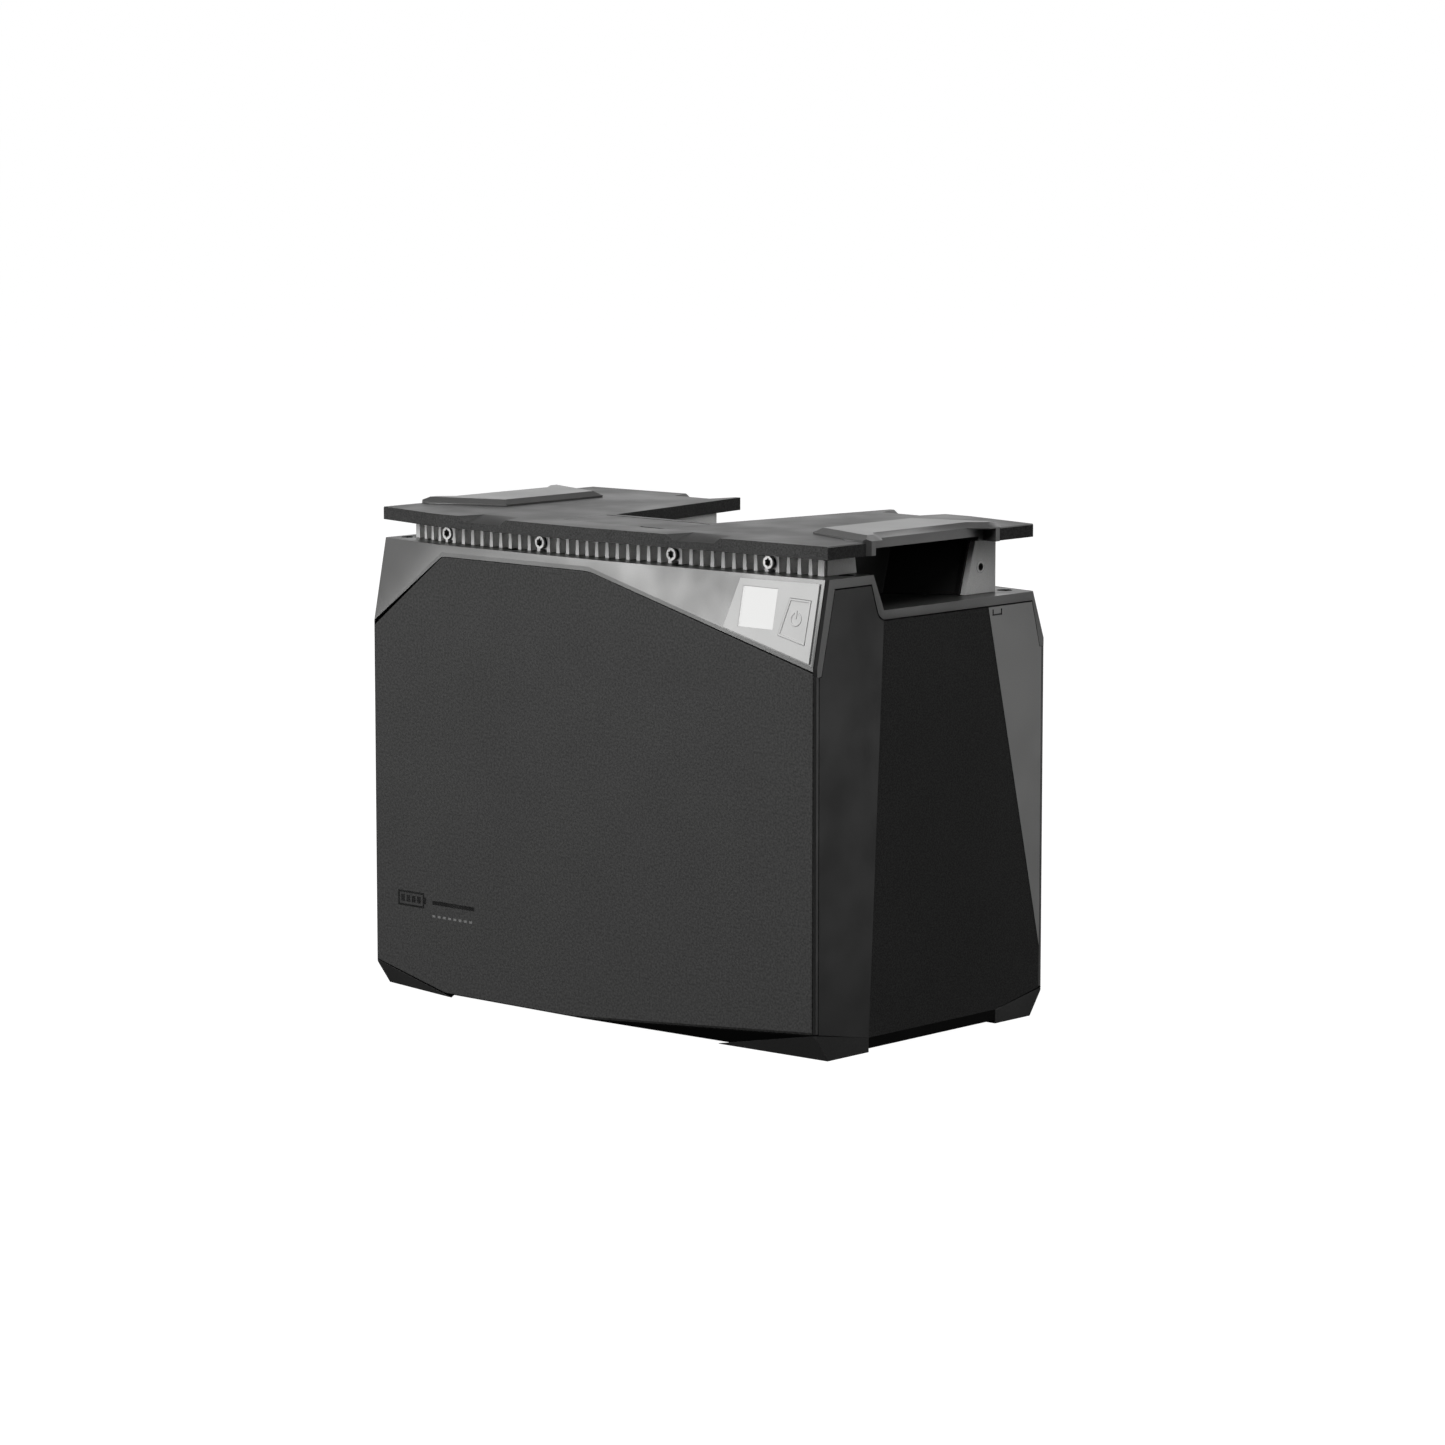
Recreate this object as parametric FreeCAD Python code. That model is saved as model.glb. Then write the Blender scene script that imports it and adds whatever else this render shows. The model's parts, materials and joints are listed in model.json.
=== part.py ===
"""Stackable lithium battery module: a faceted floor-standing case with a finned top frame, two carry
grips, a display with a rocking power key, a service hatch and a rear connector bay.

Frame: millimetres, +Z up, +X to the right of the display side, -Y towards the display side.
The origin is at the centre of the footprint, on the floor. Each function makes one sub-part.
"""
import FreeCAD, Part
import math
import os
from FreeCAD import Matrix, Vector

# ---- driving dimensions --------------------------------------------------------------------------
WIDTH = 350.0            # outer width of the case
DEPTH = 200.0            # outer depth of the case
RIDGE_TOP = 268.0        # top of the front ridge
DECK_TOP = 247.5         # top of the deck behind the ridge
COVER_TOP = 286.4        # top face of the top cover
COVER_THICK = 7.5
GRIP_TOP = 290.0         # highest point of the object
HALF_W = WIDTH / 2
HALF_D = DEPTH / 2

# ---- faceted front and rear ----------------------------------------------------------------------
LEAN = 10.0              # how far the upper corners lean in
CROWN = 1.5              # how far the middle of the upper edge leans in
SHORT_X = -116.0         # where the short diagonal of a panel ends
LONG_X = 3.0             # where the long diagonal of a panel starts
FRONT_PANEL_TOP = 261.2
REAR_PANEL_TOP = 241.2
PANEL_SHOULDER = 217.0   # height at which a panel's side edges end
PANEL_BOTTOM = 2.4
PANEL_FOOT = 15.9        # height of a panel's lower corners
PANEL_THICK = 2.5
BORDER = 2.8             # flat border of a trim around its panel
BASE_IN = 11.3           # how far the base's corners are set in at the floor
GAP = 0.35               # visible joint between neighbouring skins

# ---- case ----------------------------------------------------------------------------------------
SKIN = 3.0               # thickness of a side cover
CORNER = 1.3             # how far panels and trims stop short of the side faces
CORNER_IN = 0.3          # how far a corner post lies below the side faces
CORNER_DEEP = 3.6        # width of a corner post on the side faces
CHAMFER = 1.6            # leg of the chamfer on the vertical corners
WALL = 3.2               # wall of the case body
BASE_UNDERSIDE = 2.2
BASE_RIM = 16.3
SEAM_Z = 215.0           # joint between case body and upper case
SEAL_THICK = 2.0
DECK_THICK = 3.5
BODY_X = HALF_W - SKIN
BODY_Y = HALF_D - PANEL_THICK - 0.1
CAVITY_X = BODY_X - WALL
CAVITY_Y = BODY_Y - WALL

# ---- side outline, in (Y, Z) ---------------------------------------------------------------------
SIDE_LOW_Z = 8.3
SIDE_LOW_FRONT = -54.0
SIDE_LOW_REAR = 57.0
BAND = 6.0               # height of the upper case's band above a side cover
SIDE_GROOVE = 0.55       # extra width of the groove under that band
RIDGE_REAR_TOP = -51.5
RIDGE_REAR_FOOT = -42.5

# ---- top frame and fins --------------------------------------------------------------------------
FRAME_X = 161.0          # half length of the fin bar and the side frames
RAIL_X = 147.0           # half length of the front rail
FRAME_TOP = COVER_TOP - COVER_THICK - 0.1
FRAME_REAR = 71.5
RAIL_REAR = -36.0        # joint between the front rail and the side frames
FIN_BAR_REAR = -47.0
FIN_FRONT_MID = -86.5
FIN_FRONT_END = -77.0
FIN_DEPTH = 9.0
FIN_PITCH = 7.73
FIN_FIRST = 4.0          # first fin on either side of the middle
FIN_MIDDLE = 0.6
FIN_COUNT = 20           # fins on either side
FIN_THICK_LOW = 2.7
FIN_THICK_TOP = 1.9
FIN_END_X = 156.6        # inner face of the solid ends
FIN_SCREW_FINS = (-17, -7, 7, 16)    # fins, counted from the middle, that carry a screw on their right
FIN_SCREW_R = 1.95
FIN_HEAD_R = 3.6
FIN_HEAD = 4.2
FIN_SOCKET_R = 2.5
FIN_PAD = 2.6            # from a screw fin to the middle of its screw
FIN_POCKET = 2.2         # depth of the recess round a screw head
FIN_END_DEEP = 2.5       # depth of the groove in each end face
FIN_END_GROOVE = (0.9, 2.9)          # groove in each end face, measured back from its front
INSERT_Y = 58.2
INSERT_Z = 262.9
INSERT_LENGTH = 14.0
INSERT_R = 3.7
INSERT_BORE_R = 2.1

# ---- wells ---------------------------------------------------------------------------------------
WELL_INNER_X = 117.0     # inner wall of a handle well
WELL_ELBOW_X = 153.0
BAY_FRONT_Y = -33.0      # connector bay, a trapezium that widens to the rear
BAY_FRONT_X = 39.0
BAY_REAR_Y = 100.0
BAY_REAR_X = 58.5
LINER = 1.6

# ---- top cover -----------------------------------------------------------------------------------
COVER_X = 175.0
COVER_FRONT_END = -90.0
COVER_FRONT_MID = -101.5
COVER_REAR_END = 88.0
COVER_REAR_MID = 98.5
RECESS_X = 81.0          # centres of the four edge recesses
RECESS_TOP = 39.0
RECESS_LOW = 29.0
RECESS_DEEP = 3.4
RECESS_LONG = 16.5

# ---- grips ---------------------------------------------------------------------------------------
GRIP_X = 177.0           # outer face of the grips
GRIP_IN_X = 121.0
GRIP_EDGE_X = 168.0
GRIP_UNDER = 281.6
GRIP_LUG_OUT = 58.0

# ---- service hatch -------------------------------------------------------------------------------
HATCH_X = 41.0
HATCH_FRONT = -75.0
HATCH_REAR = -38.0
HATCH_THICK = 2.4
HATCH_PIN_R = 0.8
HATCH_PIN_Y = -40.0
HATCH_PIN_Z = COVER_TOP - 1.5

# ---- display facet: a frame of its own on the long leaning facet ---------------------------------
FASCIA_THICK = 2.9
FASCIA_PROUD = 0.9
FASCIA = ((-60.5, 46.0), (-4.4, 46.8), (-4.4, 2.2), (-68.1, 17.6))
LCD = (-57.5, -32.7, 18.9, 41.8)
KEY = ((-23.5, 37.4), (-8.6, 37.0), (-9.3, 12.2), (-28.6, 16.4))
KEY_GAP = 0.15
KEY_THICK = 1.8

# ---- cells and electronics -----------------------------------------------------------------------
CELL_COUNT = 16
CELL_THICK = 19.4
CELL_WIDTH = 148.0
CELL_HEIGHT = 125.0
CELL_PAD = 0.6
CELL_FLOOR = 12.0
END_PLATE = 6.0
BOARD_Z = 205.0
BOARD_THICK = 1.6

# ---- connector bay -------------------------------------------------------------------------------
PANEL_Z = DECK_TOP + 2.5
POWER_Y = 8.0
POWER_X = 23.0
POWER_HALF_Y = 15.0
POWER_TOP = 272.0
POLE_X = 10.5
POLE_R = 4.0
LINK_X = 24.0
LINK_Y = 46.0
LINK_R = 9.0
LINK_TOP = 266.0
CAP_THICK = 3.0
VENT = (-31.0, -15.0)
HINGE_PIN_R = 1.0

CASE_SCREW_END = 198.0    # height of the case screws' lower ends
CASE_HEAD_DEEP = 5.6      # depth of a case screw head's underside
CASE_SCREWS = ((-166.0, -78.0), (165.0, -63.0), (-70.0, -87.0), (61.0, -86.0),
               (-159.0, 82.0), (159.0, 82.0), (-80.0, 84.5), (80.0, 84.5))
BASE_SCREWS = ((-150.0, -84.0), (150.0, -84.0), (-50.0, -84.0), (50.0, -84.0),
               (-150.0, 84.0), (150.0, 84.0), (-50.0, 84.0), (50.0, 84.0))
OVER = 0.5               # how far a cutting tool runs past a face
BIG = 600.0


# ---- shape helpers -------------------------------------------------------------------------------
def box(x0, x1, y0, y1, z0, z1):
    return Part.makeBox(x1 - x0, y1 - y0, z1 - z0, Vector(x0, y0, z0))


def prism(points, direction):
    """A polygon of 3-D points, swept along a vector."""
    wire = Part.makePolygon([Vector(*p) for p in points] + [Vector(*points[0])])
    return Part.Face(wire).extrude(Vector(*direction))


def prism_x(yz, x0, x1):
    return prism([(x0, y, z) for y, z in yz], (x1 - x0, 0, 0))


def prism_y(xz, y0, y1):
    return prism([(x, y0, z) for x, z in xz], (0, y1 - y0, 0))


def prism_z(xy, z0, z1):
    return prism([(x, y, z0) for x, y in xy], (0, 0, z1 - z0))


def rod(start, axis, radius, length):
    return Part.makeCylinder(radius, length, Vector(*start), Vector(*axis))


def loft(low, high):
    """A solid with flat faces between two polygons of equally many 3-D points."""
    count = len(low)
    rings = [low[::-1], high]
    rings += [[low[i], low[(i + 1) % count], high[(i + 1) % count], high[i]] for i in range(count)]
    faces = [Part.Face(Part.makePolygon([Vector(*p) for p in ring + ring[:1]])) for ring in rings]
    solid = Part.Solid(Part.Shell(faces))
    if solid.Volume < 0:
        solid.reverse()
    return solid


def fuse(shapes):
    result = shapes[0]
    for shape in shapes[1:]:
        result = result.fuse(shape)
    return result.removeSplitter()


def cut(shape, tools):
    for tool in tools:
        shape = shape.cut(tool)
    return shape


def turned(shape):
    """The shape turned half a turn about the vertical."""
    copy = shape.copy()
    copy.rotate(Vector(0, 0, 0), Vector(0, 0, 1), 180)
    return copy


def mirrored(shape):
    """The shape mirrored from the right side to the left."""
    return shape.mirror(Vector(0, 0, 0), Vector(1, 0, 0))


def moved(shape, x=0.0, y=0.0, z=0.0):
    copy = shape.copy()
    copy.translate(Vector(x, y, z))
    return copy


def beyond(a, b, c, outside):
    """A large block on the side of the plane through a, b and c that holds the point outside."""
    a, b, c, outside = (Vector(*p) for p in (a, b, c, outside))
    normal = (b - a).cross(c - a).normalize()
    if normal.dot(outside - a) < 0:
        normal = normal.negative()
    block = Part.makeBox(2 * BIG, 2 * BIG, BIG, Vector(-BIG, -BIG, 0))
    block.Placement = FreeCAD.Placement(a, FreeCAD.Rotation(Vector(0, 0, 1), normal))
    return block


def rounded_prism(corners, radii, y0, y1):
    """A prism along Y from (X, Z) corners, with the given radius at each corner."""
    count = len(corners)
    points = [Vector(x, y0, z) for x, z in corners]
    edges = []
    ends = []
    for i, (point, radius) in enumerate(zip(points, radii)):
        before = (points[i - 1] - point).normalize()
        after = (points[(i + 1) % count] - point).normalize()
        half = before.getAngle(after) / 2
        if radius == 0:
            ends.append((point, point, None))
            continue
        reach = radius / math.tan(half)
        middle = point + (before + after).normalize() * (radius / math.sin(half) - radius)
        ends.append((point + before * reach, point + after * reach, middle))
    for i, (start, stop, middle) in enumerate(ends):
        if middle is not None:
            edges.append(Part.Arc(start, middle, stop).toShape())
        edges.append(Part.LineSegment(stop, ends[(i + 1) % count][0]).toShape())
    return Part.Face(Part.Wire(edges)).extrude(Vector(0, y1 - y0, 0))


def tube(points, diameter):
    """A round cable along straight runs joined by tangent arcs."""
    points = [Vector(*p) for p in points]
    edges = []
    at = points[0]
    for before, point, after in zip(points, points[1:], points[2:]):
        back = before - point
        ahead = after - point
        shorter = min(back.Length, ahead.Length)
        back.normalize()
        ahead.normalize()
        half = back.getAngle(ahead) / 2
        reach = 0.45 * shorter
        radius = reach * math.tan(half)
        start = point + back * reach
        stop = point + ahead * reach
        middle = point + (back + ahead).normalize() * (radius / math.sin(half) - radius)
        edges.append(Part.LineSegment(at, start).toShape())
        edges.append(Part.Arc(start, middle, stop).toShape())
        at = stop
    edges.append(Part.LineSegment(at, points[-1]).toShape())
    path = Part.Wire(edges)
    circle = Part.Wire(Part.makeCircle(diameter / 2, points[0], points[1] - points[0]))
    return path.makePipeShell([circle], True, False)


def screw(x, y, head_z, length, shank_r, head_r, head_h, down=True):
    """A socket screw along Z whose head's underside is at head_z."""
    way = -1 if down else 1
    head = rod((x, y, head_z), (0, 0, -way), head_r, head_h)
    shank = rod((x, y, head_z), (0, 0, way), shank_r, length)
    socket = rod((x, y, head_z - way * head_h * 0.45), (0, 0, -way), head_r * 0.5, head_h)
    return cut(fuse([head, shank]), [socket])


# ---- outer envelope ------------------------------------------------------------------------------
def upper_facets(panel_top, top):
    """Cutting blocks for the leaning facets above a panel: short diagonal, top strip, long diagonal."""
    shoulder = PANEL_SHOULDER + BORDER
    line = panel_top + BORDER
    out = (0, -BIG, BIG)
    corner_low = (-HALF_W, -HALF_D, shoulder)
    corner_top = (-HALF_W, -HALF_D + LEAN, top)
    far_low = (HALF_W, -HALF_D, shoulder)
    far_top = (HALF_W, -HALF_D + LEAN, top)
    knee = (SHORT_X, -HALF_D, line)
    bend = (LONG_X, -HALF_D, line)
    return [beyond(corner_low, knee, corner_top, out),
            beyond(knee, bend, (0, -HALF_D + CROWN, top), out),
            beyond(bend, far_low, far_top, out)]


def lower_facets():
    """Cutting blocks for the facets under a panel: short diagonal on the left, long one on the right."""
    out = (0, -BIG, -BIG)
    left = beyond((-HALF_W, -HALF_D, PANEL_FOOT), (SHORT_X, -HALF_D, PANEL_BOTTOM),
                  (-HALF_W, -HALF_D + BASE_IN, 0), out)
    right = beyond((0, -HALF_D, PANEL_BOTTOM), (HALF_W, -HALF_D, PANEL_FOOT),
                   (HALF_W, -HALF_D + BASE_IN, 0), out)
    return [left, right]


def corner_chamfers(top):
    """Cutting blocks for the chamfers on the two front corners: a plumb one and a leaning one each."""
    blocks = []
    for side in (-1, 1):
        line = side * (HALF_W - CHAMFER)
        shoulder = PANEL_SHOULDER + BORDER
        outer = (side * HALF_W, -HALF_D + CHAMFER, shoulder)
        foot = (line, -HALF_D, shoulder)
        out = (side * BIG, -BIG, shoulder)
        blocks.append(beyond(foot, outer, (line, -HALF_D, 0), out))
        blocks.append(beyond(foot, outer, (line, -HALF_D + LEAN, top), out))
    return blocks


def make_envelope():
    body = box(-HALF_W, HALF_W, -HALF_D, HALF_D, 0, RIDGE_TOP)
    body = cut(body, corner_chamfers(RIDGE_TOP) + [turned(b) for b in corner_chamfers(DECK_TOP)])
    body = cut(body, upper_facets(FRONT_PANEL_TOP, RIDGE_TOP))
    body = cut(body, [turned(b) for b in upper_facets(REAR_PANEL_TOP, DECK_TOP)])
    body = cut(body, lower_facets() + [turned(b) for b in lower_facets()])
    step = [(RIDGE_REAR_TOP, RIDGE_TOP), (RIDGE_REAR_FOOT, DECK_TOP), (HALF_D + OVER, DECK_TOP),
            (HALF_D + OVER, RIDGE_TOP + OVER), (RIDGE_REAR_TOP, RIDGE_TOP + OVER)]
    return body.cut(prism_x(step, -HALF_W - OVER, HALF_W + OVER))


def panel_outline(top, grow):
    """Corners and radii of a panel in (X, Z); grow widens its upper edge for a neighbour's joint."""
    edge = HALF_W - CORNER - GAP
    corners = [(-edge, PANEL_FOOT), (SHORT_X, PANEL_BOTTOM), (LONG_X, PANEL_BOTTOM),
               (edge, PANEL_FOOT), (edge, PANEL_SHOULDER + grow), (LONG_X, top + grow),
               (SHORT_X, top + grow), (-edge, PANEL_SHOULDER + grow)]
    return corners, [0, 0, 0, 0, 0, 40, 8, 0]


def side_outline(grow, groove=0.0):
    """Outline of a side cover in (Y, Z), wider by grow, and by groove as well along its upper edge."""
    front = -HALF_D + CORNER_DEEP - grow
    rear = HALF_D - CORNER_DEEP + grow
    low = SIDE_LOW_Z - grow
    foot = PANEL_FOOT - grow
    band = DECK_TOP - BAND + grow + groove
    ridge = RIDGE_TOP - BAND + grow + groove
    seam = SEAM_Z + grow
    centre = (RIDGE_REAR_FOOT + 1.6, DECK_TOP - BAND + 8.0)
    radius = 8.0 - grow - groove
    arc = [(centre[0] + radius * math.cos(a), centre[1] + radius * math.sin(a))
           for a in (math.radians(d) for d in (198.43, 212, 226, 240, 255, 270))]
    ridge_y = arc[0][0] - (ridge - arc[0][1]) / 3.0
    return ([(front, foot), (SIDE_LOW_FRONT, low), (SIDE_LOW_REAR, low), (rear, foot), (rear, seam),
             (rear - 1.8, seam), (HALF_D - LEAN - 2.5 + grow, band)]
            + arc[::-1]
            + [(ridge_y, ridge), (-HALF_D + LEAN + 6.4 - grow, ridge),
               (front + 1.8, seam), (front, seam)])


# ---- case ----------------------------------------------------------------------------------------
def corner_post(sx, sy, z0, z1):
    """A slim post at a vertical edge: a web from the case's corner to the nose that shows."""
    face = HALF_W - CORNER_IN
    spans = [((BODY_X - 3.0, BODY_X + 1.4), (BODY_Y - 2.2, BODY_Y)),
             ((BODY_X + 1.3, face), (BODY_Y - 0.8, BODY_Y)),
             ((HALF_W - CORNER, face), (BODY_Y - 0.1, HALF_D))]
    return fuse([box(*sorted((sx * xs[0], sx * xs[1])), *sorted((sy * ys[0], sy * ys[1])), z0, z1)
                 for xs, ys in spans])


def side_room(grow, side, groove=0.0):
    """The space of a side cover with its thinner front and rear edges, for cutting its neighbours."""
    room = prism_x(side_outline(grow, groove), *sorted((side * (BODY_X - 0.1), side * (HALF_W + OVER))))
    edge_x = sorted((side * (BODY_X - 1.0), side * (BODY_X + 1.5)))
    edges = [box(*edge_x, *sorted((sy * (BODY_Y - 2.4), sy * HALF_D)), 0, BIG) for sy in (-1, 1)]
    return cut(room, edges)


def make_case_body(envelope):
    """The extruded tube between base tray and upper case, with screw lugs inside."""
    top = SEAM_Z + 0.12
    z0 = BASE_RIM + 0.1
    ring_top = SEAM_Z - SEAL_THICK
    walls = box(-BODY_X, BODY_X, -BODY_Y, BODY_Y, z0, ring_top)
    bore = box(-CAVITY_X, CAVITY_X, -CAVITY_Y, CAVITY_Y, z0 - OVER, ring_top + OVER)
    walls = walls.cut(bore)
    blocks = []
    for x, y in CASE_SCREWS:
        blocks.append(lug(x, y, ring_top - 18.0, ring_top))
    for x, y in BASE_SCREWS:
        blocks.append(lug(x, y, z0, z0 + 14.0))
    edges = [corner_post(sx, sy, z0, top) for sx in (-1, 1) for sy in (-1, 1)]
    room = box(-BODY_X, BODY_X, -BODY_Y, BODY_Y, ring_top, top + OVER)
    edges = [edge.cut(room) for edge in edges]
    body = fuse([walls] + blocks + edges).common(envelope)
    holes = [rod((x, y, ring_top - 18.0 - OVER), (0, 0, 1), 2.5, 30.0) for x, y in CASE_SCREWS]
    holes += [rod((x, y, z0 - OVER), (0, 0, 1), 2.05, 14.0 + 2 * OVER) for x, y in BASE_SCREWS]
    return cut(body, holes)


def lug(x, y, z0, z1):
    """A screw block that ties a screw position to the nearest wall."""
    reach = 6.0
    if abs(x) > 140:
        xs = sorted((x - math.copysign(reach, x), math.copysign(CAVITY_X + 1, x)))
    else:
        xs = (x - reach, x + reach)
    ys = sorted((y - math.copysign(reach, y), math.copysign(CAVITY_Y + 1, y)))
    return box(xs[0], xs[1], ys[0], ys[1], z0, z1)


def make_base_tray(envelope):
    tray = envelope.common(box(-HALF_W, HALF_W, -HALF_D, HALF_D, BASE_UNDERSIDE, BASE_RIM))
    pocket = box(-CAVITY_X + 2, CAVITY_X - 2, -88, 88, 6.2, BASE_RIM + OVER)
    low = [(-HALF_W + CORNER, PANEL_FOOT - 0.1), (SHORT_X, PANEL_BOTTOM - 0.1),
           (LONG_X, PANEL_BOTTOM - 0.1), (HALF_W - CORNER, PANEL_FOOT - 0.1),
           (HALF_W - CORNER, 30.0), (-HALF_W + CORNER, 30.0)]
    front = prism_y(low, -HALF_D - OVER, -BODY_Y)
    sides = [side_room(0.1, s) for s in (-1, 1)]
    holes = []
    for x, y in BASE_SCREWS:
        holes.append(rod((x, y, 0), (0, 0, 1), 2.3, 30.0))
        holes.append(rod((x, y, 0), (0, 0, 1), 4.4, BASE_UNDERSIDE + 3.0))
    lugs = [rod((x, y, 5.0), (0, 0, 1), 7.0, BASE_RIM - 5.0) for x, y in BASE_SCREWS]
    tray = cut(tray, [pocket])
    tray = fuse([tray] + lugs)
    return cut(tray, [front, turned(front)] + sides + holes + [f[1] for f in foot_blocks()])


def foot_block(inner_x, inner_y, corner_x, side_y):
    """A corner foot made for the front, with room for the tray's floor and the base screws."""
    above = beyond((inner_x, inner_y, BASE_UNDERSIDE), (corner_x, -HALF_D, PANEL_FOOT),
                   (corner_x, side_y, SIDE_LOW_Z), (0, 0, BIG))
    far = inner_x - math.copysign(10.0, inner_x)
    block = box(*sorted((far, corner_x)), -HALF_D, side_y, 0, PANEL_FOOT)
    room = box(-HALF_W + 6.8, HALF_W - 6.8, -HALF_D + 11.0, 0, 4.2, BASE_RIM)
    access = [rod((x, y, -1), (0, 0, 1), 4.8, 7.0) for x, y in BASE_SCREWS]
    return cut(block, [above, room] + access)


def foot_blocks():
    """Names and solids of the four corner feet, before they are trimmed to the envelope."""
    rear_left = foot_block(107.0, -93.0, HALF_W, -SIDE_LOW_REAR)
    rear_right = foot_block(-121.0, -97.8, -HALF_W, -SIDE_LOW_REAR)
    return [("foot_front_left", foot_block(-121.0, -97.8, -HALF_W, SIDE_LOW_FRONT)),
            ("foot_front_right", foot_block(107.0, -93.0, HALF_W, SIDE_LOW_FRONT)),
            ("foot_rear_left", turned(rear_left)), ("foot_rear_right", turned(rear_right))]


def make_feet(envelope):
    return {name: block.common(envelope) for name, block in foot_blocks()}


def make_base_screws():
    return Part.makeCompound([screw(x, y, BASE_UNDERSIDE + 3.0, 22.0, 2.0, 4.0, 2.4, down=False)
                              for x, y in BASE_SCREWS])


def make_panel(top):
    """A front or rear panel, made for the front."""
    corners, radii = panel_outline(top, 0)
    panel = rounded_prism(corners, radii, -HALF_D, -HALF_D + PANEL_THICK)
    edge = HALF_W - CORNER - GAP
    hem = beyond((LONG_X, -HALF_D + 0.8, PANEL_BOTTOM), (edge, -HALF_D + 0.8, PANEL_FOOT),
                 (LONG_X, -HALF_D, PANEL_BOTTOM + 1.6), (0, -BIG, -BIG))
    return panel.cut(hem)


def make_trim(envelope, panel_top, top):
    """The faceted frame above a front panel, made for the front."""
    skin = envelope.cut(moved(envelope, y=PANEL_THICK))
    skin = skin.common(box(-HALF_W + CORNER + GAP, HALF_W - CORNER - GAP, -HALF_D, -HALF_D + 14.0,
                           SEAM_Z - 10.0, top))
    corners, radii = panel_outline(panel_top, GAP)
    corners = [(x * 1.02 if abs(x) > 150 else x, z) for x, z in corners]
    return skin.cut(rounded_prism(corners, radii, -HALF_D - OVER, 0))


def display_place():
    """The display facet's own frame: X along the facet, Y up it, Z out of it."""
    low = Vector(HALF_W, -HALF_D, PANEL_SHOULDER + BORDER)
    bend = Vector(LONG_X, -HALF_D, FRONT_PANEL_TOP + BORDER)
    high = Vector(HALF_W, -HALF_D + LEAN, RIDGE_TOP)
    out = (low - bend).cross(high - bend).normalize()
    if out.y > 0:
        out = out.negative()
    along = (Vector(1, 0, 0) - out * out.x).normalize()
    up = out.cross(along)
    return Matrix(along.x, up.x, out.x, low.x, along.y, up.y, out.y, low.y,
                  along.z, up.z, out.z, low.z, 0, 0, 0, 1)


def on_display(shape):
    return shape.transformed(display_place())


def grown(points, grow):
    """A convex polygon in the facet's frame with each edge moved out by grow."""
    count = len(points)
    cx = sum(p[0] for p in points) / count
    cy = sum(p[1] for p in points) / count
    lines = []
    for (x0, y0), (x1, y1) in zip(points, points[1:] + points[:1]):
        nx, ny = y1 - y0, x0 - x1
        size = math.hypot(nx, ny)
        nx, ny = nx / size, ny / size
        if nx * (x0 - cx) + ny * (y0 - cy) < 0:
            nx, ny = -nx, -ny
        lines.append((nx, ny, nx * x0 + ny * y0 + grow))
    result = []
    for (a, b, c), (d, e, f) in zip(lines[-1:] + lines[:-1], lines):
        det = a * e - b * d
        result.append(((c * e - b * f) / det, (a * f - c * d) / det))
    return result


def facet_prism(points, z0, z1):
    return on_display(prism_z(list(points), z0, z1))


def make_upper_case(envelope):
    cap = envelope.common(box(-HALF_W, HALF_W, -HALF_D, HALF_D, SEAM_Z + 0.2, RIDGE_TOP))
    inner_x = HALF_W - CORNER
    behind = moved(envelope, y=PANEL_THICK + 0.1)
    before = moved(envelope, y=-PANEL_THICK - 0.1)
    front = box(-inner_x, inner_x, -HALF_D - OVER, -HALF_D + 14.0, SEAM_Z, RIDGE_TOP).cut(behind)
    rear = box(-inner_x, inner_x, HALF_D - 14.0, HALF_D + OVER, SEAM_Z, DECK_TOP + OVER).cut(before)
    sides = [side_room(0.3, s, SIDE_GROOVE) for s in (-1, 1)]
    under = DECK_TOP - DECK_THICK
    cavities = [box(-CAVITY_X, CAVITY_X, -90.5, 90.5, SEAM_Z, 231.0),
                box(-CAVITY_X, CAVITY_X, -89.5, 85.0, 230.0, under),
                box(-CAVITY_X, CAVITY_X, -84, -56, under - OVER, RIDGE_TOP - DECK_THICK)]
    columns = [rod((x, y, SEAM_Z + 0.2), (0, 0, 1), 6.5, (RIDGE_TOP if y < 0 else DECK_TOP) - SEAM_Z - 1.0)
               for x, y in CASE_SCREWS]
    cap = cut(cap, [front, rear] + cavities)
    cap = fuse([cap] + columns).common(envelope)
    cap = cut(cap, [front, rear] + sides)
    holes = []
    for x, y in CASE_SCREWS:
        top = RIDGE_TOP if y < 0 else DECK_TOP
        holes.append(rod((x, y, SEAM_Z - 1.0), (0, 0, 1), 2.7, 70.0))
        holes.append(rod((x, y, top - CASE_HEAD_DEEP), (0, 0, 1), 4.7, 12.0))
    ways = [box(*sorted((s * 60.0, s * 114.0)), -30, 50, under - OVER, DECK_TOP + OVER) for s in (-1, 1)]
    ways.append(box(-18, 18, POWER_Y - 9, POWER_Y + 9, under - OVER, DECK_TOP + OVER))
    ways += [rod((s * LINK_X, LINK_Y, under - OVER), (0, 0, 1), 6.5, 6.0) for s in (-1, 1)]
    window = facet_prism(grown(FASCIA, -2.0), -14.0, 1.0)
    return cut(cap, holes + ways + [window])


def make_case_seal():
    z0 = SEAM_Z - SEAL_THICK + 0.05
    outer = box(-BODY_X + 0.4, BODY_X - 0.4, -BODY_Y + 0.9, BODY_Y - 0.9, z0, SEAM_Z + 0.15)
    inner = box(-CAVITY_X - 0.3, CAVITY_X + 0.3, -CAVITY_Y - 0.1, CAVITY_Y + 0.1, z0 - 1, SEAM_Z + 1)
    return outer.cut(inner)


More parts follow.
